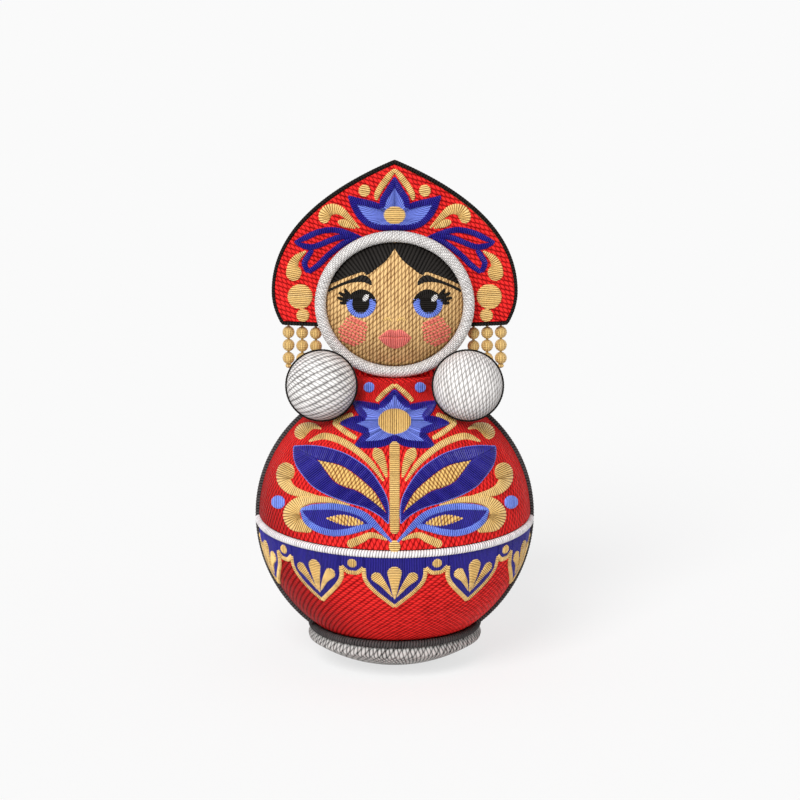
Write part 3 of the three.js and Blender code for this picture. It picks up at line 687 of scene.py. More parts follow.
def wound(path: Array, side: Array, out: Array, winding: Winding, loop: bool) -> Patchwork:
    """Carries a wound section along a path.

    The section grows and shrinks with the cosine of the run over the thread's pitch plus
    the angle round the section, so that the thread climbs as it goes round.

    Args:
        path: points along the middle of the cord.
        side: the section's width direction at each point.
        out: the section's depth direction at each point.
        winding: the section and its thread.
        loop: whether the cord closes on itself.

    Returns:
        The closed cord.
    """
    run = run_length(np.vstack((path, path[:1])) if loop else path)
    run *= max(round(run[-1] / winding.pitch), 1) * winding.pitch / run[-1]
    angle = np.linspace(0.0, 2 * np.pi, winding.sides + 1)
    phase = 2 * np.pi * run[: len(path), None] / winding.pitch + angle[None, :-1]
    grow = 1.0 - winding.groove * (0.5 + 0.5 * np.cos(phase))
    bulge = np.stack((np.cos(angle[:-1]), np.sin(angle[:-1])), axis=-1)
    bulge = np.sign(bulge) * np.abs(bulge) ** winding.squareness
    points = path[:, None] + (grow * bulge[:, 0])[..., None] * side[:, None] * winding.width
    points = points + (grow * bulge[:, 1])[..., None] * out[:, None] * winding.depth
    flat = np.stack(np.meshgrid(run, angle * winding.width, indexing="ij"), axis=-1)
    flat[..., 0] += angle / (2 * np.pi) * winding.pitch
    flat[..., 0] *= Pattern.WOUND.value[0] / winding.pitch
    work = Patchwork()
    work.add_tube(points, flat, loop)
    return work


class Sketch:
    """Adds nodes to a node tree and joins them."""

    def __init__(self, tree: bpy.types.NodeTree) -> None:
        """Keeps the tree that the nodes go into."""
        self.tree = tree

    def feed(self, socket: bpy.types.NodeSocket, value: object) -> None:
        """Links a socket, or sets a plain value on it."""
        if isinstance(value, bpy.types.NodeSocket):
            self.tree.links.new(value, socket)
        else:
            socket.default_value = value

    def node(self, kind: str, inputs: dict | None = None, **settings: object) -> bpy.types.Node:
        """Adds a node.

        Args:
            kind: the node's Blender type.
            inputs: what goes into its sockets, by name or number.
            settings: its own properties.

        Returns:
            The node.
        """
        made = self.tree.nodes.new(kind)
        for key, value in settings.items():
            setattr(made, key, value)
        for key, value in (inputs or {}).items():
            self.feed(made.inputs[key], value)
        return made

    def math(self, operation: str, *values: object, clamp: bool = False) -> bpy.types.NodeSocket:
        """Adds a Math node and returns its result."""
        made = self.node("ShaderNodeMath", dict(enumerate(values)), operation=operation)
        made.use_clamp = clamp
        return made.outputs[0]

    def mix(self, share: object, one: object, other: object) -> bpy.types.NodeSocket:
        """Adds a colour mix and returns its result."""
        made = self.node("ShaderNodeMix", {0: share, 6: one, 7: other}, data_type="RGBA")
        return made.outputs[2]

    def ramp(self, value: object, low: float, high: float) -> bpy.types.NodeSocket:
        """Adds a smooth step from low to high and returns its result."""
        inputs = {0: value, 1: low, 2: high}
        made = self.node("ShaderNodeMapRange", inputs, interpolation_type="SMOOTHSTEP")
        return made.outputs[0]


def new_group(name: str, inputs: dict[str, str], outputs: tuple[str, ...]) -> Sketch:
    """Makes an empty shader node group with named sockets.

    Args:
        name: the group's name.
        inputs: socket types by name.
        outputs: names of the value outputs.

    Returns:
        A sketch of the group's tree.
    """
    tree = bpy.data.node_groups.new(name, "ShaderNodeTree")
    for key, kind in inputs.items():
        tree.interface.new_socket(name=key, in_out="INPUT", socket_type=kind)
    for key in outputs:
        tree.interface.new_socket(name=key, in_out="OUTPUT", socket_type="NodeSocketFloat")
    return Sketch(tree)


def stitch_group() -> bpy.types.NodeTree:
    """Returns the shared stitch pattern, built once.

    Threads lie side by side by pitch and are cut into stitches by length, each row moved on
    by its step. Height is a round thread that dips at its ends, and shade is chance by stitch
    with a fine fibre along the thread.

    Returns:
        The node group.
    """
    name = "stitch_cells"
    if name in bpy.data.node_groups:
        return bpy.data.node_groups[name]
    sizes = ("Pitch", "Length", "Step", "Turn", "Slant")
    sockets = {"Vector": "NodeSocketVector"} | {key: "NodeSocketFloat" for key in sizes}
    sketch = new_group(name, sockets, ("Height", "Shade"))
    given = sketch.node("NodeGroupInput").outputs
    turn = {"Vector": given["Vector"], "Angle": given["Turn"]}
    rotated = sketch.node("ShaderNodeVectorRotate", turn, rotation_type="Z_AXIS")
    split = sketch.node("ShaderNodeSeparateXYZ", {0: rotated.outputs[0]}).outputs
    rows = sketch.math("DIVIDE", split[1], given["Pitch"])
    row = sketch.math("FLOOR", rows)
    part = sketch.math("MULTIPLY_ADD", sketch.math("FRACT", rows), 2.0, -1.0)
    square = sketch.math("MULTIPLY", part, part)
    ridge = sketch.math("SQRT", sketch.math("SUBTRACT", 1.0, square))
    leant = sketch.math("MULTIPLY_ADD", part, given["Slant"], 0.5)
    shifted = sketch.math("MULTIPLY_ADD", row, given["Step"], leant)
    stitches = sketch.math("ADD", sketch.math("DIVIDE", split[0], given["Length"]), shifted)
    cell = sketch.math("FLOOR", stitches)
    place = sketch.math("MULTIPLY_ADD", sketch.math("FRACT", stitches), 2.0, -1.0)
    dip = sketch.math("POWER", sketch.math("ABSOLUTE", place), 4.0)
    bow = sketch.math("SUBTRACT", 1.0, sketch.math("MULTIPLY", dip, STITCH_DIP))
    spot = sketch.node("ShaderNodeCombineXYZ", {0: row, 1: cell}).outputs[0]
    chance = sketch.node("ShaderNodeTexWhiteNoise", {"Vector": spot}, noise_dimensions="2D")
    inputs = {0: rotated.outputs[0], 1: FIBRE_STRETCH}
    drawn = sketch.node("ShaderNodeVectorMath", inputs, operation="MULTIPLY").outputs[0]
    fibre = sketch.node("ShaderNodeTexNoise", {"Vector": drawn, "Scale": 1.0})
    fibre.noise_dimensions = "2D"
    high = sketch.math("MULTIPLY", ridge, bow)
    rough = sketch.math("MULTIPLY_ADD", fibre.outputs[0], FIBRE_HEIGHT, high)
    fine = sketch.math("MULTIPLY", fibre.outputs[0], 0.5)
    tone = sketch.math("MULTIPLY_ADD", chance.outputs[0], 0.5, fine)
    out = sketch.node("NodeGroupOutput")
    sketch.feed(out.inputs["Height"], rough)
    sketch.feed(out.inputs["Shade"], tone)
    return sketch.tree


def blank_material(name: str) -> tuple[bpy.types.Material, Sketch, bpy.types.Node]:
    """Makes a material that has only its surface node.

    Args:
        name: the material's name.

    Returns:
        The material, a sketch of its tree and the surface node.
    """
    made = bpy.data.materials.new(name)
    made.use_nodes = True
    return made, Sketch(made.node_tree), made.node_tree.nodes["Principled BSDF"]


@dataclass(frozen=True)
class PaintedShadeZone:
    """Painted shade: a darker second thread colour on one side of a piece, by direction in the
    piece's own space.
    """

    shade: Shade
    direction: tuple[float, float, float]
    middle: tuple[float, float, float]
    start: float
    end: float


@dataclass(frozen=True)
class ThreadFinish:
    """Thread laid in a pattern: its colours, gloss and the depth of its grooves."""

    name: str
    shade: Shade
    pattern: Pattern
    roughness: float = 0.48
    relief: float = 0.28
    contrast: float = 0.84
    gloss: float = 0.02
    # Painted shade laid over one side of the piece, where it has one.
    painted_shade: PaintedShadeZone | None = None

    def material(self) -> bpy.types.Material:
        """Returns the finish's material, made once.

        Colour goes from the gap's to the ridge's with the thread's height, painting shade into the
        grooves and light onto the crowns, and with its own chance.

        Returns:
            The material.
        """
        if self.name in bpy.data.materials:
            return bpy.data.materials[self.name]
        made, sketch, base = blank_material(self.name)
        chart = sketch.node("ShaderNodeUVMap", uv_map=THREAD_MAP)
        pitch, length, step, turn, slant = self.pattern.value
        cells = sketch.node("ShaderNodeGroup", node_tree=stitch_group())
        given = (chart.outputs[0], pitch, length, step, math.radians(turn), slant)
        for socket, value in zip(cells.inputs, given):
            sketch.feed(socket, value)
        height, tone = cells.outputs["Height"], cells.outputs["Shade"]
        # Painted shade and highlight: low parts of the thread take the gap colour, high parts the
        # ridge colour.
        steep = sketch.math("MULTIPLY", height, height)
        lit = sketch.math("MULTIPLY_ADD", steep, self.contrast, GAP_LEVEL)
        share = sketch.math("MULTIPLY_ADD", tone, CHANCE_SHARE, lit, clamp=True)
        colour = sketch.mix(share, *self.shade.opaque())
        if self.painted_shade:
            colour = self.add_painted_shade(sketch, colour, share, tone)
        sketch.feed(base.inputs["Base Color"], colour)
        rough = sketch.math("MULTIPLY_ADD", tone, -SHEEN_RANGE, self.roughness + SHEEN_RANGE / 2)
        sketch.feed(base.inputs["Roughness"], rough)
        base.inputs["Specular IOR Level"].default_value = self.gloss
        bump = {"Strength": BUMP_STRENGTH, "Distance": self.relief * METRE, "Height": height}
        sketch.feed(base.inputs["Normal"], sketch.node("ShaderNodeBump", bump).outputs[0])
        return made

    def add_painted_shade(
        self,
        sketch: Sketch,
        colour: bpy.types.NodeSocket,
        share: bpy.types.NodeSocket,
        tone: bpy.types.NodeSocket,
    ) -> bpy.types.NodeSocket:
        """Lays the painted shade's darker thread colour over the first colour, with a ragged edge
        stitch by stitch.

        Args:
            sketch: the material's tree.
            colour: the first thread's colour.
            share: how far a point is from the gap's colour to the ridge's.
            tone: the stitch's own chance.

        Returns:
            The mixed colour.
        """
        place = sketch.node("ShaderNodeTexCoord").outputs["Object"]
        inputs = {0: place, 1: self.painted_shade.middle}
        moved = sketch.node("ShaderNodeVectorMath", inputs, operation="SUBTRACT")
        inputs = {0: moved.outputs[0], 1: self.painted_shade.direction}
        along = sketch.node("ShaderNodeVectorMath", inputs, operation="DOT_PRODUCT")
        ragged = sketch.math("MULTIPLY_ADD", tone, 0.5, along.outputs["Value"])
        mask = sketch.ramp(ragged, self.painted_shade.start, self.painted_shade.end)
        return sketch.mix(mask, colour, sketch.mix(share, *self.painted_shade.shade.opaque()))


class Grain(Enum):
    """How an inner piece's colour wanders: noise scale per metre and stretch along its length."""

    MOULDED = (420.0, (1.0, 1.0, 1.0))
    PULP = (900.0, (1.0, 1.0, 0.35))
    WOODEN = (260.0, (6.0, 6.0, 0.6))
    CAST = (700.0, (1.0, 1.0, 1.0))
    BRUSHED = (600.0, (1.0, 1.0, 14.0))


@dataclass(frozen=True)
class SolidFinish:
    """A plain material of an inner piece, with grain in its colour, gloss and surface."""

    name: str
    dark: Colour
    light: Colour
    roughness: float
    metallic: float
    grain: Grain

    def material(self) -> bpy.types.Material:
        """Returns the finish's material, made once.

        Returns:
            The material.
        """
        if self.name in bpy.data.materials:
            return bpy.data.materials[self.name]
        made, sketch, base = blank_material(self.name)
        scale, stretch = self.grain.value
        place = sketch.node("ShaderNodeTexCoord").outputs["Object"]
        drawn = sketch.node("ShaderNodeMapping", {"Vector": place, "Scale": stretch})
        inputs = {"Vector": drawn.outputs[0], "Scale": scale, "Detail": 5.0}
        cloud = sketch.node("ShaderNodeTexNoise", inputs).outputs[0]
        share = sketch.ramp(cloud, 0.3, 0.7)
        colour = sketch.mix(share, (*self.dark, 1.0), (*self.light, 1.0))
        sketch.feed(base.inputs["Base Color"], colour)
        gloss = sketch.math("MULTIPLY_ADD", cloud, 0.2, self.roughness - 0.1)
        sketch.feed(base.inputs["Roughness"], gloss)
        base.inputs["Metallic"].default_value = self.metallic
        bump = {"Strength": 0.3, "Distance": 0.05 * METRE, "Height": cloud}
        sketch.feed(base.inputs["Normal"], sketch.node("ShaderNodeBump", bump).outputs[0])
        return made


def make_piece(
    name: str,
    work: Patchwork,
    finish: ThreadFinish,
    slot: str,
    *stands_for: str,
    body: str = DOLL,
) -> bpy.types.Object:
    """Makes a finished piece from gathered surfaces.

    Args:
        name: the piece's name.
        work: its surfaces.
        finish: its thread.
        slot: the record's material slot; not used.
        stands_for: the CAD nodes that it takes the place of.
        body: the body that it rides on.

    Returns:
        The new object.
    """
    mesh = work.mesh(name)
    mesh.materials.append(finish.material())
    made = bpy.data.objects.new(name, mesh)
    bpy.context.scene.collection.objects.link(made)
    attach(made, body)
    if stands_for:
        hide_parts(*stands_for)
    LOG.info("%s: %d faces on %s", name, len(mesh.polygons), body)
    return made


class Relief(Enum):
    """Heights of satin above its cloth, in millimetres."""

    FLAT = 0.30
    LOW = 0.34
    IRIS = 0.40
    FACE = 0.42
    MIDDLE = 0.50
    USUAL = 0.55
    SCROLL = 0.60
    RAISED = 0.62
    GLINT = 0.68
    WING = 0.70
    BOLD = 0.75


@dataclass(frozen=True)
class Needlework:
    """Ornament on one surface, with its name's stem and the usual height of its satin."""

    stem: str
    surface: Surface
    scale: float = SHEET_UNIT
    usual: Relief = Relief.USUAL

    def sew(
        self,
        part: str,
        motifs: tuple[Motif, ...],
        finish: ThreadFinish,
        slot: str,
        relief: Relief | None = None,
    ) -> bpy.types.Object:
        """Sews motifs of one thread, with their mirror images, as one piece.

        Args:
            part: the end of the piece's name.
            motifs: what is sewn.
            finish: the thread.
            slot: the record's material slot.
            relief: the satin's height where it isn't the usual one.

        Returns:
            The new object.
        """
        work = Patchwork()
        height, pitch = (relief or self.usual).value, finish.pattern.value[0]
        for motif in motifs:
            work.add_motif(self.surface, motif, self.scale, height, pitch)
        return make_piece(f"{self.stem}_{part}", work, finish, slot)


# Painted shade: deep red thread darkens the covers towards the viewer's left and the bottom.
RED_PAINTED_SHADE = PaintedShadeZone(Shade.PAINTED_SHADE_RED, (-24.0, 0.0, -13.0), (0.0, 0.0, 0.0455), 0.74, 1.22)
LOWER_RED = ThreadFinish("red_thread_rising", Shade.RED, Pattern.TWILL_RISING, painted_shade=RED_PAINTED_SHADE)
UPPER_RED = ThreadFinish("red_thread_falling", Shade.RED, Pattern.TWILL_FALLING, painted_shade=RED_PAINTED_SHADE)
CREST_RED = ThreadFinish("red_thread_ridges", Shade.RED, Pattern.RIDGES)
BLACK_WOUND = ThreadFinish("black_wound_thread", Shade.CORD, Pattern.WOUND, roughness=0.42)
BLACK_FINE = ThreadFinish("black_fine_thread", Shade.BLACK, Pattern.WOUND)
HAIR_LOOSE = ThreadFinish("hair_loose_thread", Shade.BLACK, Pattern.LOOSE, gloss=0.08)
RED_WOUND = ThreadFinish("red_wound_thread", Shade.RED, Pattern.WOUND)
BELT_WOUND = ThreadFinish("belt_wound_thread", Shade.BELT_WHITE, Pattern.WOUND)
SHADOW_GREY_RADIAL = ThreadFinish("shadow_grey_thread_radial", Shade.SHADOW_GREY, Pattern.RADIAL)
WHITE_SPECKLED = ThreadFinish("white_thread_speckled", Shade.PALE, Pattern.SPECKLED)
TAN_RIBS = ThreadFinish("tan_thread_ribs", Shade.TAN, Pattern.RIBS)
GOLD_SEED = ThreadFinish("gold_thread_seed", Shade.AMBER, Pattern.SEED)
GOLD_SATIN = ThreadFinish("gold_satin", Shade.GOLD, Pattern.SATIN, roughness=0.38, gloss=0.4)
BLUE_SATIN = ThreadFinish("blue_satin", Shade.BLUE, Pattern.SATIN, roughness=0.38, gloss=0.3)
SKY_SATIN = ThreadFinish("sky_satin", Shade.SKY, Pattern.SATIN, roughness=0.38, gloss=0.3)
PETAL_SATIN = ThreadFinish("petal_satin", Shade.PETAL, Pattern.SATIN)
BLACK_SATIN = ThreadFinish("black_satin", Shade.BLACK, Pattern.SATIN, roughness=0.4)
WHITE_SATIN = ThreadFinish("white_satin", Shade.WHITE, Pattern.SATIN)
PINK_LOOSE = ThreadFinish("pink_loose_thread", Shade.PINK, Pattern.LOOSE)
DEEP_ROSE = ThreadFinish("deep_rose_satin", Shade.PINK, Pattern.SATIN)
ROSE_SATIN = ThreadFinish("rose_satin", Shade.ROSE, Pattern.SATIN)


def arc(radius: float, start: float, end: float, count: int) -> Array:
    """Returns an arc's points as sine and cosine of even angles, times the radius."""
    angle = np.linspace(start, end, count)
    return radius * np.column_stack((np.sin(angle), np.cos(angle)))


@dataclass
class BallBody:
    """The ball body: covers, foot, cords, belt, hem and the flower on its front."""

    centre: float = 45.5
    radius: float = 40.8
    thickness: float = 0.9
    belt: float = 44.3
    belt_gap: float = 1.35
    belt_end: float = 1.2
    belt_groove: float = 0.08
    cord: float = 1.1
    cord_seat: float = 40.9
    cord_top: float = math.radians(24.0)
    cord_foot: float = math.radians(143.1)
    cord_cover_foot: float = math.radians(140.5)
    cord_gap: float = 1.0
    seam_gap: float = 0.15
    seam_lean: float = math.radians(15.0)
    foot_radius: float = 45.9
    foot_inner: float = 41.2
    foot_edge: float = math.radians(34.4)
    foot_flat: float = math.radians(7.5)
    foot_round: float = 0.5
    foot_inner_round: float = 0.4
    foot_lip: float = 0.012
    foot_cord_seat: float = 42.2
    foot_cord_turn: float = math.radians(36.4)
    cover_foot: float = math.radians(143.8)
    neck: float = 13.0
    neck_fillet: float = 4.0
    neck_top: float = 94.0
    neck_front_top: float = 89.4
    neck_cut_start: float = 4.6
    neck_cut_run: float = 1.2
    collar_top: float = 89.56
    collar_back: float = 5.95
    collar_half: float = 11.45
    collar_inset: float = 0.05
    collar_wall: float = 0.2
    collar_rise: tuple[float, float] = (0.3, 4.2)
    collar_run: float = 6.0
    scallops: int = 10
    hem_top: float = -1.9
    hem_height: float = 0.30
    hem_cord: float = 1.55
    hem_gold_height: float = 0.75
    work: Needlework = field(init=False)

    def __post_init__(self) -> None:
        """Readies the sheet that the front's ornament is drawn on."""
        surface = NeckedBallSurface(self.centre, self.radius, self.neck, self.neck_fillet)
        self.work = Needlework("body", surface)

    def build(self) -> None:
        """Builds every piece of the body."""
        self.foot()
        for side, turn in (("front", 0.0), ("back", math.pi)):
            self.cover(side, turn)
            self.belt_half(side, turn)
        self.collar()
        self.side_cords()
        self.foot_cord()
        self.hem()
        self.flower()
        self.leaves()

    def foot(self) -> None:
        """Builds the foot: a ball's cap with a flat underneath, hollow above; its grey thread is
        painted ground shadow.
        """
        top = self.foot_edge + self.foot_lip
        outer = arc(self.foot_radius, self.foot_flat, self.foot_edge, 40)
        lip = arc(self.foot_radius - self.foot_round, top, top, 1)
        edge = arc(self.foot_inner + self.foot_inner_round, top, top, 1)
        inner = arc(self.foot_inner, self.foot_edge, 0.01, 30)
        profile = np.vstack((outer, lip, edge, inner))
        level = np.minimum(profile[:, 1], self.centre)
        profile = np.column_stack((profile[:, 0], -level))
        first = np.array(((0.05, -self.centre),))
        axes = Axes(self.centre * UPWARD, UPWARD, ACROSS, -FORWARD)
        work = turned(np.vstack((first, profile)), axes, ROUND_COLUMNS, Spread.WRAPPED)
        # The foot is a real piece; its grey colour is painted shadow where the doll meets the
        # ground.
        make_piece("foot_cloth", work, SHADOW_GREY_RADIAL, "grey_foot", "rocker_foot")

    def upper_profile(self) -> Array:
        """Returns the upper cover's outer line: a ball, a hollow fillet and the neck.

        The fillet's centre stands its own radius outside the neck and outside the ball.

        Returns:
            Rows of radius and height above the ball's centre, from the belt to the neck's top.
        """
        reach = self.neck + self.neck_fillet
        height = math.sqrt((self.radius + self.neck_fillet) ** 2 - reach**2)
        meet = math.atan2(reach, height)
        start = math.acos((self.belt + self.belt_gap - self.centre) / self.radius)
        ball = arc(self.radius, start, meet, 70)
        hollow = arc(self.neck_fillet, math.pi + meet, 1.5 * math.pi, 10)
        hollow = hollow + (reach, height)
        top = np.array(((self.neck, self.neck_top - self.centre),))
        return np.vstack((ball, hollow[1:], top))

    def cover(self, side: str, turn: float) -> None:
        """Builds one half of the upper and lower covers, with room for the side cords.

        Args:
            side: front or back.
            turn: the azimuth of the half's middle.
        """
        drop = math.acos((self.belt - self.belt_gap - self.centre) / self.radius)
        lower = arc(self.radius, drop, self.cover_foot, 60)
        halves = (("lower", lower, LOWER_RED), ("upper", self.upper_profile(), UPPER_RED))
        for part, profile, finish in halves:
            run = run_length(profile)
            slope = unit(np.gradient(profile, axis=0))
            inward = np.column_stack((slope[:, 1], -slope[:, 0]))
            inward *= np.sign(-np.sum(inward * profile, axis=1, keepdims=True))
            inner = profile + inward * self.thickness
            polar = np.arctan2(profile[:, 0], profile[:, 1])
            corded = (polar > self.cord_top) & (polar < self.cord_cover_foot)
            gap = np.where(corded, self.cord_gap, self.seam_gap) / profile[:, 0]
            share = np.linspace(-1.0, 1.0, 121)
            azimuth = turn + share * (self.seam(profile, turn) - gap)[:, None]
            flat = np.stack(np.broadcast_arrays(azimuth * self.radius, -run[:, None]), axis=-1)
            sheets = [self.lathe(line, azimuth) for line in (profile, inner)]
            if part == "upper":
                sheets = [self.cut_neck(sheet) for sheet in sheets]
            work = Patchwork()
            work.add_slab(sheets[0], sheets[1], flat)
            panel = f"{part}_{side}_panel"
            make_piece(f"{part}_{side}_cover", work, finish, "red_cloth", panel)

    def seam(self, profile: Array, turn: float) -> Array:
        """Returns how far round from a half's middle the side seam is, in radians.

        Above the ball's middle the seam is halfway round. Below it the seam's plane leans
        forward, so that its cosine is the drop times the lean's tangent over the radius.

        Args:
            profile: rows of radius and height above the ball's centre.
            turn: the azimuth of the half's middle.

        Returns:
            The angle at each row.
        """
        drop = np.maximum(-profile[:, 1], 0.0)
        front = np.arccos(drop * math.tan(self.seam_lean) / profile[:, 0])
        return front if turn == 0.0 else math.pi - front

    def lathe(self, line: Array, azimuth: Array) -> Array:
        """Returns a profile's points at each azimuth, radius round and height up."""
        spot = (line[:, :1] * np.sin(azimuth), -line[:, :1] * np.cos(azimuth))
        height = np.broadcast_to(line[:, 1:] + self.centre, azimuth.shape)
        return np.stack((*spot, height), axis=-1)

    def cut_neck(self, sheet: Array) -> Array:
        """Lowers the neck's front edge, so that it stays under the face ring."""
        ahead = -sheet[..., 1] - self.neck_cut_start
        front = np.clip(ahead / self.neck_cut_run, 0.0, 1.0)
        top = self.neck_top + (self.neck_front_top - self.neck_top) * front
        sheet[..., 2] = np.minimum(sheet[..., 2], top)
        return sheet

    def collar(self) -> None:
        """Builds the cloth turned in over the front of the neck, under the face ring."""
        across = np.linspace(-1.0, 1.0, 61)[:, None] * self.collar_half
        front = -np.sqrt((self.neck - self.collar_inset) ** 2 - across**2)
        share = np.append(np.linspace(0.0, 1.0, 12), np.ones(8))
        rise = np.append(np.zeros(12), np.linspace(*self.collar_rise, 8))
        sheets = []
        for wall in (0.0, self.collar_wall):
            depth = front * (1 - share) + (wall - self.collar_back) * share
            spots = np.broadcast_arrays(across, depth, self.collar_top - wall + rise)
            sheets.append(np.stack(spots, axis=-1))
        flat = np.stack(np.broadcast_arrays(across, rise + share * self.collar_run), axis=-1)
        work = Patchwork()
        work.add_slab(sheets[0], sheets[1], flat)
        make_piece("neck_collar", work, UPPER_RED, "red_cloth")

    def belt_half(self, side: str, turn: float) -> None:
        """Builds half of the belt, ending beside the side cords.

        Args:
            side: front or back.
            turn: the azimuth of the half's middle.
        """
        level = np.array(((self.cord_seat, self.belt - self.centre),))
        reach = float(self.seam(level, turn)[0]) - self.belt_end / self.cord_seat
        azimuth = turn + np.linspace(-reach, reach, 900)
        out = np.column_stack((np.sin(azimuth), -np.cos(azimuth), np.zeros_like(azimuth)))
        path = out * self.cord_seat + self.belt * UPWARD
        up = np.broadcast_to(UPWARD, path.shape)
        winding = Winding(self.cord, self.cord, groove=self.belt_groove)
        work = wound(path, up, out, winding, False)
        make_piece(f"belt_{side}", work, BELT_WOUND, "white_cord", f"belt_cord_{side}")

    def side_cords(self) -> None:
        """Builds the two side cords, upright arcs that lean forward below the ball's middle."""
        polar = np.linspace(self.cord_top, self.cord_foot, 640)
        lean = np.where(polar > math.pi / 2, self.seam_lean, 0.0)
        flat = np.zeros_like(polar)
        depth = np.column_stack((flat, np.cos(lean), -np.sin(lean)))
        for side, sign in (("left", -1.0), ("right", 1.0)):
            rise = np.cos(polar)
            out = np.column_stack((sign * np.sin(polar), rise * np.sin(lean), rise * np.cos(lean)))
            path = out * self.cord_seat + self.centre * UPWARD
            work = wound(path, depth, out, Winding(self.cord, self.cord), False)
            cord = f"{side}_side_cord"
            make_piece(f"{side}_side_piping", work, BLACK_WOUND, "black_cord", cord)

    def foot_cord(self) -> None:
        """Builds the cord round the foot's edge."""
        azimuth = np.linspace(0.0, 2 * np.pi, 1100, endpoint=False)
        flat = np.column_stack((np.cos(azimuth), np.sin(azimuth), np.zeros_like(azimuth)))
        out = flat * math.sin(self.foot_cord_turn) - UPWARD * math.cos(self.foot_cord_turn)
        path = out * self.foot_cord_seat + self.centre * UPWARD
        side = flat * math.cos(self.foot_cord_turn) + UPWARD * math.sin(self.foot_cord_turn)
        work = wound(path, side, out, Winding(self.cord, self.cord), True)
        make_piece("foot_piping", work, BLACK_WOUND, "black_cord", "foot_cord")

    def hem(self) -> None:
        """Builds the scalloped hem under the belt, the same all the way round."""
        period = 2 * np.pi * self.radius / self.scallops
        half = period / 2
        scallop = ((-9.3, -5.7), (-8.9, -9.6), (-6.3, -13.3), (0.0, -19.2))
        mirrored_scallop = tuple((-x, y) for x, y in reversed(scallop))
        bend = ((9.3, -5.7), (11.2, -7.3))
        bridge = (*bend, (half, -7.5), *((period - x, y) for x, y in reversed(bend)))
        lines = (scallop, mirrored_scallop, bridge)
        wave = np.vstack([smooth_line(line, STITCH_STEP) for line in lines])
        edge = np.vstack([wave + (period * k, 0.0) for k in range(self.scallops)])
        top = np.column_stack((edge[:, 0], np.full(len(edge), self.hem_top)))
        cloth, gold = Patchwork(), Patchwork()
        start = -math.pi
        round_band = BandSurface(self.centre, self.radius, start)
        pitch = Pattern.SATIN.value[0]
        cloth.add_stitches(round_band, (edge, top), self.hem_height, pitch)
        upright = ((0.0, -16.4), (0.0, -11.0), (0.0, -6.6), (0.0, -4.9))
        slanting = ((-0.6, -15.6), (-3.4, -11.0), (-5.6, -8.4), (-6.5, -7.2))
        motifs = (
            *(Column(line, (self.hem_cord,) * len(line), False, False) for line in lines),
            Column(upright, (0.8, 2.9, 4.6, 3.4), False),
            Column(slanting, (0.7, 2.2, 3.6, 2.7)),
            Disc((half, -4.5), (1.55, 1.45), 0.0, False),
        )
        for turn in np.arange(self.scallops) * 2 * np.pi / self.scallops:
            band = BandSurface(self.centre, self.radius, float(turn) + start)
            for motif in motifs:
                gold.add_motif(band, motif, 1.0, self.hem_gold_height, pitch)
        make_piece("hem_blue", cloth, BLUE_SATIN, "red_cloth")
        make_piece("hem_gold", gold, GOLD_SATIN, "gold_thread")

    def flower(self) -> None:
        """Sews the five-pointed flower, its chevrons, dots and stem."""
        rim = (
            (0, 75), (-12.3, 69.8), (-26, 68), (-36.4, 69.8), (-25.3, 80), (-38.2, 84.6),
            (-51.7, 90), (-29, 95), (-39, 109.5), (-26, 108.6), (-14.7, 105.5), (-7, 113.5),
            (0, 120.5),
        )
        core = oval_arc((0, 92), (5, 5), (-0.5, -1.5), 13)
        self.work.sew("petals", (Fill(rim, core),), PETAL_SATIN, "red_cloth", Relief.FLAT)
        width, tip = 7.2, 3.0
        strokes = (
            ((0, 123.4), (-5.4, 114.6), (-14.5, 105.2)),
            ((-41.8, 111.6), (-28, 107.4), (-14, 105)),
            ((-41.6, 111.8), (-35, 103), (-28, 94.5)),
            ((-54, 90.2), (-42, 92.4), (-28, 95)),
            ((-54, 90), (-41, 87), (-25, 80.8)),
            ((-39, 67.8), (-31.4, 74), (-25, 81)),
            ((-39.2, 68), (-28, 68.6), (-12.3, 70.2), (-1.5, 74.6), (2.4, 76.4)),
        )
        lines = tuple(Column(line, (tip, *(width,) * (len(line) - 1))) for line in strokes)
        self.work.sew("flower", lines, BLUE_SATIN, "red_cloth", Relief.BOLD)
        gold = (
            Disc((0, 91.5), (16.5, 13), 0.0, False),
            Column(((0, 128.4), (-10.8, 119.6), (-18.5, 111.5)), (4.6, 5.2, 4.2)),
            Column(((-41, 99), (-61, 90.6)), (4.6, 5.6)),
            Column(((-61, 91), (-48, 81), (-37.3, 74.8)), (5.4, 5.6, 4.6)),
            Column(((0, 72), (0, 25), (0, -19)), (10.5, 10.5, 9.5), False),
            Column(((0, -25), (0, -37)), (11, 12), False),
        )
        self.work.sew("flower_gold", gold, GOLD_SATIN, "gold_thread", Relief.RAISED)
        dots = (Disc((-25.3, 125.6), (5.4, 5.4)), Disc((-115.5, 11.5), (6.8, 6.8)))
        self.work.sew("dots", dots, SKY_SATIN, "red_cloth")

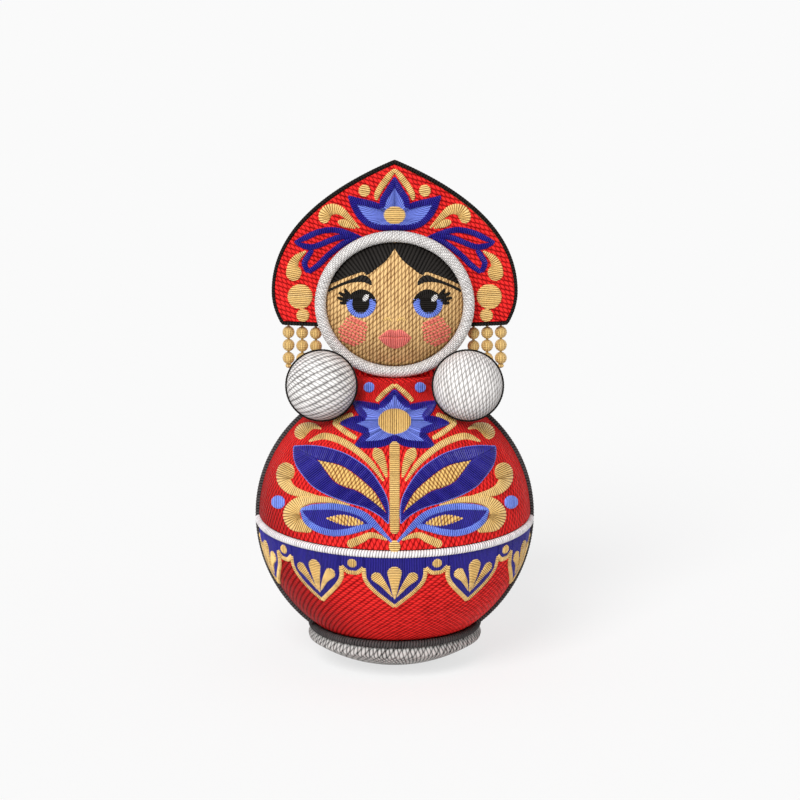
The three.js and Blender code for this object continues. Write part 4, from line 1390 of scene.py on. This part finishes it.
    def leaves(self) -> None:
        """Sews the two pairs of leaves and the gold scrolls round them."""
        upper = (
            (-100.2, 67), (-80.8, 67.5), (-61.4, 64.2), (-43, 56.8), (-24.4, 43), (-10.5, 22.6),
            (-6, 8), (-6, -8.8),
        )
        lower = (
            (-100.2, 67), (-100, 57), (-96.5, 46.6), (-88.2, 35.6), (-80, 27.3), (-66, 19.4),
            (-47.5, 12.5), (-29, 7), (-15, -0.5), (-6, -8.8),
        )
        start, end = (-76.2, 53.6), (-8.6, 2.3)
        seed_top = (start, (-56.7, 49.4), (-43, 42.5), (-24.4, 27.3), (-16, 17), end)
        seed_low = (start, (-68, 43), (-59.5, 32.8), (-49.3, 27.3), (-33.6, 21.7), end)
        tip, base = (-99, 65.5), (-6, -8)
        bands = (Fill(upper, (tip, *seed_top, base)), Fill(lower, (tip, *seed_low, base)))
        self.work.sew("leaf_blue", bands, BLUE_SATIN, "red_cloth", Relief.RAISED)
        outline = tuple(Column(line, (1.6,) * len(line)) for line in (upper, lower))
        self.work.sew("leaf_outline", outline, PETAL_SATIN, "red_cloth", Relief.MIDDLE)
        bloom_top = (
            (-92.8, 4.6), (-80, 7), (-61.4, 7.8), (-47.5, 6), (-33.6, 1.4), (-23.4, -6),
            (-8.6, -20.8), (0, -29.6),
        )
        bloom_low = (
            (-92.8, 4.6), (-86.3, -7), (-75.2, -14.4), (-61.4, -18), (-47.5, -17), (-33.6, -13.4),
            (-22, -10.5),
        )
        bud = (Fill(bloom_top[:6], bloom_low),)
        self.work.sew("bud_blue", bud, BLUE_SATIN, "red_cloth", Relief.LOW)
        rims = (
            Column(bloom_top, (3, 6.4, 7, 7, 7, 7.5, 4, 2)),
            Column(bloom_low, (3, 6.4, 7, 7, 7, 7, 6)),
        )
        self.work.sew("bud_rim", rims, SKY_SATIN, "red_cloth", Relief.BOLD)
        pip_top = ((-70.6, -3.3), (-52, 0.6), (-38, -2.5), (-27, -9))
        pip_low = ((-70.6, -3.3), (-52, -10.6), (-38, -11.5), (-27, -9))
        seeds = (Fill(seed_top, seed_low), Fill(pip_top, pip_low))
        self.work.sew("seeds", seeds, GOLD_SEED, "gold_thread", Relief.MIDDLE)
        gold = (
            Column(((-72.5, 84.6), (-82, 87), (-91.5, 83), (-96.5, 74.5)), (2, 7, 12.5, 11)),
            Column(
                (
                    (-85.4, 72), (-70.6, 77), (-56.7, 74), (-43, 67), (-30.8, 57.7), (-21.6, 48.5),
                    (-10.5, 33),
                ),
                (2, 6.5, 7, 7, 6.5, 5.5, 2.5),
            ),
            Column(((-20, 65.5), (-16.5, 59.5), (-11.5, 49), (-7.7, 36.5)), (4, 11.5, 8, 2.5)),
            Column(
                (
                    (-104, 50), (-108.5, 40.2), (-109.5, 32.8), (-104, 25.4), (-95.6, 21.3),
                    (-84.5, 18.5), (-69.7, 15.2),
                ),
                (16, 18, 14, 11, 8.5, 6, 3),
            ),
            Column(
                (
                    (-43.8, 9.2), (-66, 14.3), (-84.5, 14.3), (-96.5, 9.7), (-102, 0.4),
                    (-98.4, -8.8), (-88, -13.4), (-81.7, -16.2),
                ),
                (2, 6, 9, 13, 17, 16, 10, 6),
            ),
            Column(((-6.8, -24.5), (-22.5, -20), (-33.6, -24.5), (-46.6, -30)), (3, 6, 8, 9)),
        )
        self.work.sew("scrolls", gold, GOLD_SATIN, "gold_thread", Relief.SCROLL)


@dataclass
class Head:
    """The head: hood, domed face, white ring and the face's features."""

    centre: float = 112.155
    aspect: float = 0.941
    hood: float = 21.95
    hood_wall: float = 1.5
    hood_depth: float = 19.5
    hood_front: float = 5.7
    dome: float = 26.83
    dome_middle: float = 10.96
    plate: float = 20.05
    plate_lap: float = 0.7
    plate_step: float = 0.15
    plate_back: float = 2.0
    ring: float = 22.1
    ring_front: float = 7.75
    ring_tube: float = 1.75
    body_centre: float = 45.5
    work: Needlework = field(init=False)

    @property
    def sheet_base(self) -> float:
        """Returns the height of the face ring's middle on the pattern sheet."""
        spot = np.array((0.0, -self.ring_front, self.centre - self.body_centre))
        return float(spot @ SHEET_UP)

    def __post_init__(self) -> None:
        """Readies the sheet that the face is drawn on."""
        surface = FaceSurface(
            self.dome, self.dome_middle, self.aspect, self.centre, self.body_centre, self.sheet_base
        )
        self.work = Needlework("face", surface, usual=Relief.FACE)

    def axes(self) -> Axes:
        """Returns axes along the nose, flattened from top to bottom by the aspect."""
        return Axes(self.centre * UPWARD, FORWARD, ACROSS, UPWARD * self.aspect)

    def build(self) -> None:
        """Builds every piece of the head."""
        self.hood_cloth()
        self.face_cloth()
        self.face_ring()
        self.hair()
        self.eyes()
        self.mouth()

    def hood_cloth(self) -> None:
        """Builds the hood: half an egg behind and a short barrel in front, with a wall."""
        angle = np.linspace(0.01, np.pi / 2, 60)
        shells = []
        for wall in (0.0, self.hood_wall):
            radius, depth = self.hood - wall, self.hood_depth - wall
            back = np.column_stack((radius * np.sin(angle), -depth * np.cos(angle)))
            rim = np.column_stack((np.full(8, radius), np.linspace(0.5, self.hood_front, 8)))
            shells.append(np.vstack((back, rim)))
        profile = np.vstack((shells[0], shells[1][::-1]))
        work = turned(profile, self.axes(), ROUND_COLUMNS, Spread.WRAPPED)
        make_piece("hood_cloth", work, CREST_RED, "red_cloth", "hood_shell")

    def face_cloth(self) -> None:
        """Builds the face: a dome that runs under the ring, its ribs straight up and down."""
        end = math.asin((self.plate + self.plate_lap) / self.dome)
        front = arc(self.dome, 0.004, end, 60) - (0.0, self.dome_middle)
        step = (self.plate, front[-1, 1] - self.plate_step)
        back = np.array((step, (self.plate, self.plate_back), (0.05, self.plate_back)))
        work = turned(np.vstack((front, back)), self.axes(), ROUND_COLUMNS, Spread.FROM_POLE)
        work.maps = [np.concatenate(work.points)[np.concatenate(work.quads)][..., [0, 2]]]
        make_piece("face_cloth", work, TAN_RIBS, "face_cloth", "face_plate")

    def face_ring(self) -> None:
        """Builds the white ring, an oval cord wound with thread."""
        angle = np.linspace(0.0, 2 * np.pi, 1000, endpoint=False)
        oval = np.column_stack((np.cos(angle), np.zeros_like(angle), self.aspect * np.sin(angle)))
        path = oval * self.ring + np.array((0.0, -self.ring_front, self.centre))
        side = (self.aspect * np.cos(angle), np.zeros_like(angle), np.sin(angle))
        side = unit(np.column_stack(side))
        out = np.broadcast_to(FORWARD, path.shape)
        winding = Winding(self.ring_tube, self.ring_tube, pitch=0.7, groove=0.06, sides=24)
        work = wound(path, side, out, winding, True)
        make_piece("face_ring_wound", work, WHITE_SPECKLED, "white_cord", "face_ring")

    def hair(self) -> None:
        """Sews the parted hair and the brows."""
        top = oval_arc((0, 0), (68.5, 61.5), (0.5, 0.9), 9)
        low = (
            (0.3, 55), (-7.3, 43.6), (-15.9, 36.2), (-26.5, 28.6), (-31.5, 31.4), (-46, 26.8),
            (-64, 19.6),
        )
        brow = Fill(
            (
                (-22.1, 19.4), (-23.3, 23.6), (-27.5, 27.9), (-33.6, 28.8), (-38.4, 26.6),
                (-53, 21), (-65.7, 15.4),
            ),
            ((-23, 18), (-26.9, 19.8), (-32.4, 21.4), (-43.3, 20.8), (-55.4, 16.8), (-66, 11.6)),
        )
        self.work.sew("hair", (Fill(top, low), brow), HAIR_LOOSE, "black_cord")

    def eyes(self) -> None:
        """Sews the irises, pupils, lids, lashes and the white glints."""
        iris = Column(oval_arc((-33, 1), (11.2, 11.2), (0.84, 2.16), 15), (7.4,) * 15)
        self.work.sew("irises", (iris,), SKY_SATIN, "red_cloth", Relief.IRIS)
        lid = Fill(
            (
                (-48, 2.4), (-44, 9.8), (-38, 13.6), (-32, 14.8), (-25, 12.4), (-20, 7.4),
                (-17.2, 0.8),
            ),
            (
                (-46.8, 1.0), (-43, 3.6), (-38, 4.4), (-32, 5.0), (-26, 4.4), (-22, 3.4),
                (-18.6, -0.2),
            ),
        )
        lashes = tuple(
            Column(line, (4.0, 4.0, 2.6))
            for line in (
                ((-44, 9), (-47.5, 11.5), (-49.5, 15.5)),
                ((-46, 7.5), (-50.5, 9), (-55.5, 11.5)),
                ((-46.5, 5), (-51.5, 5), (-57, 6.8)),
                ((-46.5, 2.8), (-50, 1.2), (-54.5, 1.6)),
            )
        )
        pupil = Disc((-33.2, 0.4), (9.2, 10.2), 90.0)
        root = Column(((-43, 5.4), (-47.5, 5.6), (-51.5, 6)), (10, 9.5, 6))
        black = (pupil, lid, root, *lashes)
        self.work.sew("pupils", black, BLACK_SATIN, "black_cord", Relief.MIDDLE)
        # Painted highlights: white satin glints on both eyes, both to the right of the pupils.
        glints = tuple(
            Column(((x - 3.6, y - 4), (x, y), (x + 2.6, y + 4.2)), (3, 6.4, 3.4), False)
            for x, y in ((-28, 6.4), (39, 6.0))
        )
        self.work.sew("glints", glints, WHITE_SATIN, "white_cord", Relief.GLINT)

    def scribble(self, row: int) -> Column:
        """Returns one slanting stroke of a cheek, a chord of its oval with uneven ends.

        Args:
            row: the stroke's number, counted from the cheek's middle.

        Returns:
            The stroke.
        """
        middle, size, spacing, slope = np.array((-41.2, -27.0)), 15.6, 3.05, math.radians(-24.0)
        along = np.array((math.cos(slope), math.sin(slope)))
        across = np.array((-math.sin(slope), math.cos(slope)))
        half = math.sqrt(size**2 - (spacing * row) ** 2) * (0.92 + 0.08 * math.sin(5.0 * row))
        spot = middle + across * spacing * row
        bow = across * 0.8 * math.sin(3.0 * row)
        line = (spot - along * half, spot + bow, spot + along * half)
        return Column(tuple(tuple(float(x) for x in point) for point in line), (2.0, 3.0, 2.0))

    def mouth(self) -> None:
        """Sews the cheeks, the lips, the line between them and the curls of the nose."""
        cheeks = tuple(self.scribble(row) for row in range(-4, 5))
        self.work.sew("cheeks", cheeks, PINK_LOOSE, "face_cloth", Relief.FLAT)
        line = ((-16.5, -33.2), (-8, -32), (0.5, -32.8), (9, -32), (17, -33.2))
        upper = (
            (-16.5, -33), (-8, -26.4), (-3.5, -25), (0.5, -26), (4.5, -25), (9, -26.4), (17, -33),
        )
        lower = ((-16.5, -33.4), (-9, -40.4), (0.5, -44), (10.5, -40.4), (17, -33.4))
        lips = (Fill(upper, line, False), Fill(line, lower, False))
        self.work.sew("lips", lips, ROSE_SATIN, "face_cloth", Relief.MIDDLE)
        parting = (Column(line[1:4], (0.8, 1.6, 0.8), False),)
        self.work.sew("lip_line", parting, DEEP_ROSE, "face_cloth", Relief.RAISED)
        curls = (Column(((-11, -16.6), (-7, -14.4), (-2, -17)), (2, 3, 2)),)
        self.work.sew("nose", curls, GOLD_SATIN, "gold_thread", Relief.LOW)


@dataclass
class Headdress:
    """The pointed headdress: cloth front, lining, wound edging and its ornament."""

    head: Head
    radius: float = 176.0
    front: float = -5.7
    cloth: float = 0.9
    lining_front: float = 3.6
    lining_wall: float = 0.8
    edging_depth: float = 4.4
    edging_gap: float = 0.3
    piping_front: float = -0.1
    piping_depth: float = 1.2
    piping_width: float = 1.1
    band_width: float = 0.4
    edging_groove: float = 0.12
    opening: float = 22.25
    tip: float = 42.1
    bottom: float = -6.4
    work: Needlework = field(init=False)

    def __post_init__(self) -> None:
        """Readies the sheet that the ornament is drawn on."""
        surface = CrestSurface(self.radius, self.front, self.head.body_centre, self.head.sheet_base)
        self.work = Needlework("headdress", surface)

    def outline(self, count: int) -> Array:
        """Returns half of the outline about the head's middle, corner to tip.

        A square curve goes from the bottom corner to the shoulder, and a cubic one from the
        shoulder to the tip.

        Args:
            count: the number of points.

        Returns:
            Rows of across and up.
        """
        run = np.linspace(0.0, 1.0, 80)[:, None]
        corner, side, shoulder = np.array(((33.2, self.bottom), (35.7, -2.0), (35.7, 2.4)))
        flank = corner * (1 - run) ** 2 + 2 * side * run * (1 - run) + shoulder * run**2
        first, second, peak = np.array(((35.7, 21.1), (18.2, 34.2), (0.0, self.tip)))
        rise = shoulder * (1 - run) ** 3 + 3 * first * run * (1 - run) ** 2
        rise = rise + 3 * second * run**2 * (1 - run) + peak * run**3
        return respace(np.vstack((flank, rise[1:])), count)

    def bent(self, flat: Array, inset: float) -> Array:
        """Carries flat points onto the bent board, inset behind its front.

        The front keeps its width as seen from before it, and what is behind is rolled by arc.

        Args:
            flat: points across and up about the head's middle.
            inset: how far behind the front they go.

        Returns:
            The bent points.
        """
        radius = self.radius - inset
        turn = flat[..., 0] / self.radius
        angle = np.arcsin(np.clip(turn, -1, 1)) if inset == 0 else turn
        depth = self.front + self.radius - radius * np.cos(angle)
        spot = (radius * np.sin(angle), depth)
        return np.stack((*spot, flat[..., 1] + self.head.centre), axis=-1)

    def build(self) -> None:
        """Builds every piece of the headdress."""
        half = self.outline(140)
        whole = np.vstack((half, half[-2::-1] * (-1.0, 1.0)))
        low = math.asin(self.bottom / (self.opening * self.head.aspect))
        sweep = np.linspace(low, math.pi - low, len(whole))
        inner = self.opening * np.column_stack((np.cos(sweep), self.head.aspect * np.sin(sweep)))
        share = np.linspace(0.0, 1.0, 40)
        flat = inner[:, None] * (1 - share)[:, None] + whole[:, None] * share[:, None]
        self.layer("headdress_cloth", flat, 0.0, self.cloth, "headdress_front")
        lining = (self.lining_front, self.lining_wall)
        self.layer("headdress_back_cloth", flat, *lining, "headdress_lining")
        self.edging()
        self.flower()
        self.wings()

    def layer(self, name: str, flat: Array, inset: float, wall: float, node: str) -> None:
        """Builds one bent sheet of the headdress.

        Args:
            name: the piece's name.
            flat: its flat grid.
            inset: how far behind the front it starts.
            wall: its thickness.
            node: the CAD node that it stands for.
        """
        work = Patchwork()
        work.add_slab(self.bent(flat, inset), self.bent(flat, inset + wall), flat)
        make_piece(name, work, CREST_RED, "red_cloth", node)

    def edging(self) -> None:
        """Builds the wound edge: a thin black cord in front and a narrower red band behind."""
        half = self.outline(420)
        inner = self.opening * math.sqrt(1 - (self.bottom / self.opening / self.head.aspect) ** 2)
        base = np.column_stack((np.linspace(inner + 0.6, 33.0, 70), np.full(70, self.bottom)))
        side = np.vstack((base, half))
        whole = np.vstack((side, side[-2::-1] * (-1.0, 1.0)))
        along = unit(np.gradient(whole, axis=0))
        outward = np.column_stack((along[:, 1], -along[:, 0]))
        black, red = ("black_cord", "headdress_edging"), ("red_cloth",)
        ends = (self.piping_front, self.piping_depth, self.edging_depth)
        bands = (
            ("headdress_piping", ends[:2], self.piping_width, BLACK_FINE, black),
            ("headdress_band", ends[1:], self.band_width, RED_WOUND, red),
        )
        for name, (start, end), width, finish, told in bands:
            flat = respace(whole + outward * (self.edging_gap + width / 2), 1100)
            spot = self.bent(flat, (start + end) / 2)
            sine = flat[:, 0] / self.radius
            out = np.column_stack((sine, -np.sqrt(1 - sine**2), np.zeros_like(sine)))
            across = np.cross(unit(np.gradient(spot, axis=0)), out)
            half_depth = (end - start) / 2
            winding = Winding(
                width / 2, half_depth, groove=self.edging_groove, sides=20, squareness=0.6
            )
            make_piece(name, wound(spot, across, out, winding, False), finish, *told)

    def flower(self) -> None:
        """Sews the flower over the brow, with its gold chevron, centre and dots."""
        rim = (
            (0, 76.6), (-9.5, 75.8), (-19, 76.8), (-27, 80.2), (-34, 86.2), (-39.5, 94),
            (-44.5, 105), (-36, 102.2), (-26.8, 99.9), (-18.7, 97.2), (-12.2, 95.5), (-11.2, 103),
            (-8.6, 108.3), (-4.6, 114.8), (0, 123.5),
        )
        core = oval_arc((0, 88.5), (4, 4), (-0.5, -1.5), 13)
        self.work.sew("petals", (Fill(rim, core),), PETAL_SATIN, "red_cloth", Relief.FLAT)
        strokes = (
            Column(
                ((0, 125.4), (-3.4, 116), (-7.8, 108.8), (-11.2, 103), (-12.4, 95)),
                (2, 7, 7.2, 7, 6),
            ),
            Column(
                ((-12.4, 95.5), (-18.7, 97.6), (-26.8, 99.8), (-36, 101.8), (-46, 107)),
                (6, 6.6, 7, 7, 2),
            ),
            Column(
                (
                    (-45.8, 107), (-41.4, 100.8), (-38.2, 94), (-33.2, 86.4), (-26.4, 80.3),
                    (-18.7, 77), (-9.5, 75.8), (3.2, 76),
                ),
                (2, 6.6, 7.2, 7, 6.6, 6.4, 6.4, 6.4),
            ),
        )
        self.work.sew("flower", strokes, BLUE_SATIN, "red_cloth", Relief.BOLD)
        gold = (
            Disc((0, 88.2), (11.2, 8.9), 90.0, False),
            Column(
                (
                    (0.6, 133), (-4.9, 127.2), (-9, 121.8), (-13.8, 115.2), (-17.4, 108.3),
                    (-18.2, 102.6),
                ),
                (3.4, 6, 6.6, 6.6, 6, 3),
            ),
            Disc((-29.9, 112.2), (6, 6), 80.0),
        )
        self.work.sew("flower_gold", gold, GOLD_SATIN, "gold_thread", Relief.RAISED)

    def wings(self) -> None:
        """Sews the outlined wings and the gold scrolls, commas and discs beside them."""
        strokes = (
            Column(
                (
                    (-31, 65.6), (-44, 69.2), (-54.4, 72.6), (-64.7, 73.6), (-77.4, 71),
                    (-88.9, 65.8), (-99.5, 61.2),
                ),
                (2, 6, 6, 6, 6, 6, 3),
            ),
            Column(
                (
                    (-38, 67), (-53.2, 66.6), (-63.6, 63.4), (-72.8, 59.6), (-80.8, 57),
                    (-88.9, 57.6), (-98.6, 61),
                ),
                (4, 6, 6, 6, 6, 6, 3),
            ),
            Column(
                ((-37, 66), (-48.6, 61.4), (-57.8, 55.2), (-67, 47.6), (-75.1, 39.6), (-86, 31.6)),
                (4, 6, 6, 6, 6, 5),
            ),
            Column(((-86, 31.6), (-89.4, 40.5), (-86.4, 47), (-81.4, 54.5)), (5, 6, 6, 5)),
        )
        self.work.sew("wings", strokes, BLUE_SATIN, "red_cloth", Relief.WING)
        gold = (
            Column(
                (
                    (-68.2, 80.2), (-69.4, 86), (-67.4, 91.2), (-61.8, 94), (-54.4, 92.8),
                    (-47.5, 87.4), (-41.7, 81.8), (-34.8, 75.2),
                ),
                (10, 12.5, 12.5, 11.2, 9, 6.5, 4.5, 2),
            ),
            Column(((-56.4, 81.8), (-49.5, 80), (-38.5, 75.2)), (4, 8, 2)),
            Column(
                ((-87.7, 53), (-97, 46), (-100.8, 39), (-100.2, 31.5), (-98.6, 23.6)),
                (2, 7.5, 11, 16, 14),
            ),
            Disc((-94, 8), (12.7, 12.3), 86.0),
            Disc((-91.2, -10.6), (6.7, 6.4), 80.0),
        )
        self.work.sew("scrolls", gold, GOLD_SATIN, "gold_thread", Relief.SCROLL)


@dataclass
class BeadStrings:
    """The six strings: each a thread and three thread-wound beads."""

    bead: float = 1.85
    thread: float = 0.4
    drops: tuple[float, ...] = (2.15, 6.15, 10.15)
    knot: float = 1.0
    knot_rise: float = 0.9
    ridges: int = 9
    bore: float = 0.24
    groove: float = 0.05

    def build(self) -> None:
        """Builds every string where its CAD thread hangs."""
        for side in ("left", "right"):
            for number in (1, 2, 3):
                self.string(f"{side}_string_{number}")

    def string(self, name: str) -> None:
        """Builds one string.

        Args:
            name: the string's body, which its nodes' names start with.
        """
        low, high = (np.array(corner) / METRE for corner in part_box(f"{name}_thread"))
        top = np.array(((low[0] + high[0]) / 2, (low[1] + high[1]) / 2, high[2]))
        axes = Axes(top, -UPWARD, ACROSS, FORWARD)
        length = high[2] - low[2]
        knot = length - self.knot_rise
        line = np.array((
            (0.02, 0.0), (self.thread, 0.02), (self.thread, knot - 0.5),
            (0.8 * self.knot, knot - 0.2), (self.knot, knot + 0.3),
            (0.6 * self.knot, length - 0.1), (0.02, length),
        ))
        work = turned(respace(line, 60), axes, 20, Spread.WRAPPED)
        look = (GOLD_SATIN, "gold_thread")
        make_piece(f"{name}_cord", work, *look, f"{name}_thread", body=name)
        polar = np.linspace(self.bore, np.pi - self.bore, 73)
        groove = 0.5 + 0.5 * np.cos(2 * self.ridges * polar)
        swell = self.bead * (1.0 - self.groove * groove)
        for number, drop in enumerate(self.drops, 1):
            profile = np.column_stack((swell * np.sin(polar), drop - swell * np.cos(polar)))
            work = turned(profile, axes, 32, Spread.WRAPPED)
            make_piece(f"{name}_gold_{number}", work, *look, f"{name}_bead_{number}", body=name)


@dataclass
class Hands:
    """The two ball hands, each with its black seam cord."""

    radius: float = 10.3
    seam: float = 0.55

    def build(self) -> None:
        """Builds both hands where their CAD balls stand."""
        # The left hand takes the white with darker gaps and the right the paler white: painted
        # shade on the viewer's left side.
        hands = (
            ("left", Pattern.HAND_LEFT, Shade.WHITE),
            ("right", Pattern.HAND_RIGHT, Shade.PALE),
        )
        for side, pattern, shade in hands:
            low, high = (np.array(corner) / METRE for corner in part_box(f"{side}_hand_seam"))
            middle = (low + high) / 2
            spot = tuple(float(x) for x in middle * METRE)
            # Painted shade: grey thread over the lower side of each hand.
            painted_shade = PaintedShadeZone(Shade.SHADOW_GREY, (24.0, 40.0, -90.0), spot, 0.30, 1.0)
            finish = ThreadFinish(f"{side}_hand_thread", shade, pattern, painted_shade=painted_shade)
            ball = arc(self.radius, 0.006, np.pi - 0.006, 120)
            axes = Axes(middle, TO_VIEWER, ACROSS, SHEET_UP)
            work = turned(ball, axes, 120, Spread.FROM_POLE)
            hand = f"{side}_hand"
            make_piece(f"{hand}_ball", work, finish, "hand_cloth", hand, body=hand)
            self.seam_cord(hand, middle)

    def seam_cord(self, hand: str, middle: Array) -> None:
        """Builds the cord round a hand's outline.

        Args:
            hand: the hand's body.
            middle: the hand's centre.
        """
        angle = np.linspace(0.0, 2 * np.pi, 520, endpoint=False)
        out = np.cos(angle)[:, None] * ACROSS + np.sin(angle)[:, None] * SHEET_UP
        path = middle + out * self.radius
        depth = np.broadcast_to(TO_VIEWER, path.shape)
        winding = Winding(self.seam, self.seam, pitch=0.8, groove=0.12, sides=12)
        work = wound(path, depth, out, winding, True)
        make_piece(f"{hand}_piping", work, BLACK_FINE, "black_cord", f"{hand}_seam", body=hand)


@dataclass
class InnerWorks:
    """The pieces inside, which keep their CAD shapes and get real finishes."""

    nodes: dict[str, bpy.types.Object]

    def build(self) -> None:
        """Gives each inner node its finish."""
        shells = ("base_bowl", "upper_shell", "chime_plate", "chime_bridge")
        pegs = ("left_hand_peg", "right_hand_peg")
        steels = ("ballast_bolt", "clapper_pin")
        brasses = (*(f"tone_rod_{number}" for number in (1, 2, 3, 4)), "clapper")
        moulded = ("moulded_shell", (184, 22, 24), (214, 38, 40), 0.45, 0.0, Grain.MOULDED)
        board = ("grey_board", (138, 110, 80), (170, 140, 106), 0.85, 0.0, Grain.PULP)
        wood = ("turned_wood", (168, 122, 74), (206, 162, 108), 0.55, 0.0, Grain.WOODEN)
        iron = ("cast_iron", (58, 58, 60), (84, 84, 88), 0.62, 0.9, Grain.CAST)
        steel = ("drawn_steel", (176, 180, 184), (206, 208, 212), 0.32, 1.0, Grain.BRUSHED)
        brass = ("chime_brass", (186, 150, 72), (214, 180, 100), 0.34, 1.0, Grain.BRUSHED)
        groups = (
            (moulded, (*shells, *pegs)),
            (board, ("headdress_board",)),
            (wood, ("neck_dowel",)),
            (iron, ("ballast_weight",)),
            (steel, steels),
            (brass, brasses),
        )
        for (label, dark, light, *rest), names in groups:
            finish = SolidFinish(label, linear(*dark), linear(*light), *rest)
            for name in names:
                node = self.nodes[name]
                node.data.materials.clear()
                node.data.materials.append(finish.material())
                LOG.info("%s: finished as %s", name, finish.name)


@dataclass(frozen=True)
class Studio:
    """The pale floor, the soft light and the camera at the photograph's angle, in metres."""

    aim: tuple[float, float, float] = (0.00159, 0.0, 0.0806)
    distance: float = 2.0
    lens: float = 300.0
    sensor: float = 36.0
    clip_end: float = 50.0
    floor_half: float = 6.0
    floor_white: float = 0.9
    floor_glow: float = 0.7
    sun_strength: float = 2.4
    sun_spread: float = math.radians(28.0)
    sun_tilt: tuple[float, float, float] = (math.radians(50.0), 0.0, math.radians(-20.0))
    fill_strength: float = 0.46

    def build(self) -> None:
        """Builds the whole studio."""
        self.floor()
        self.lights()
        self.camera()
        bpy.context.scene.view_settings.view_transform = "Standard"

    def seen(self, sketch: Sketch) -> bpy.types.NodeSocket:
        """Returns 1 for a ray that shows the background: camera, glossy or transmission."""
        rays = sketch.node("ShaderNodeLightPath").outputs
        straight = sketch.math("MAXIMUM", rays["Is Camera Ray"], rays["Is Glossy Ray"])
        return sketch.math("MAXIMUM", straight, rays["Is Transmission Ray"])

    def floor(self) -> None:
        """Builds the floor, mostly white by itself and partly lit, so that it keeps the shadow."""
        half = self.floor_half
        mesh = bpy.data.meshes.new("studio_floor")
        corners = ((-half, -half, 0), (half, -half, 0), (half, half, 0), (-half, half, 0))
        mesh.from_pydata(corners, [], [(0, 1, 2, 3)])
        plane = bpy.data.objects.new("studio_floor", mesh)
        bpy.context.scene.collection.objects.link(plane)
        made, sketch, base = blank_material("studio_floor_white")
        base.inputs["Base Color"].default_value = (*(self.floor_white,) * 3, 1.0)
        base.inputs["Roughness"].default_value = 0.9
        base.inputs["Specular IOR Level"].default_value = 0.0
        glow = sketch.node("ShaderNodeEmission", {"Color": (1.0, 1.0, 1.0, 1.0), "Strength": 1.0})
        share = sketch.math("MULTIPLY", self.seen(sketch), self.floor_glow)
        inputs = {0: share, 1: base.outputs[0], 2: glow.outputs[0]}
        blend = sketch.node("ShaderNodeMixShader", inputs)
        out = made.node_tree.nodes["Material Output"]
        sketch.feed(out.inputs["Surface"], blend.outputs[0])
        mesh.materials.append(made)

    def lights(self) -> None:
        """Makes a broad soft key from above and a plain white surround."""
        lamp = bpy.data.lights.new("studio_key", "SUN")
        lamp.energy = self.sun_strength
        lamp.angle = self.sun_spread
        key = bpy.data.objects.new("studio_key", lamp)
        key.rotation_euler = self.sun_tilt
        bpy.context.scene.collection.objects.link(key)
        world = bpy.data.worlds.new("studio_surround")
        world.use_nodes = True
        bpy.context.scene.world = world
        sketch = Sketch(world.node_tree)
        ground = world.node_tree.nodes["Background"]
        ground.inputs["Color"].default_value = (1.0, 1.0, 1.0, 1.0)
        fill = self.fill_strength
        rest = sketch.math("MULTIPLY_ADD", self.seen(sketch), 1.0 - fill, fill)
        sketch.feed(ground.inputs["Strength"], rest)

    def camera(self) -> None:
        """Places the camera in front, raised by the viewing angle, with a long lens."""
        lens = bpy.data.cameras.new("studio_camera")
        lens.lens = self.lens
        lens.sensor_width = self.sensor
        lens.clip_end = self.clip_end
        made = bpy.data.objects.new("studio_camera", lens)
        made.location = np.array(self.aim) + TO_VIEWER * self.distance
        made.rotation_euler = (math.pi / 2 - VIEW_TILT, 0.0, 0.0)
        bpy.context.scene.collection.objects.link(made)
        bpy.context.scene.camera = made


def main() -> None:
    """Loads the frame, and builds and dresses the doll."""
    logging.basicConfig(level=logging.INFO, format="%(message)s")
    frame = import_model()
    BallBody().build()
    head = Head()
    head.build()
    Headdress(head).build()
    BeadStrings().build()
    Hands().build()
    InnerWorks(frame["nodes"]).build()
    Studio().build()
    bpy.context.view_layer.update()


if __name__ == "__main__":
    main()
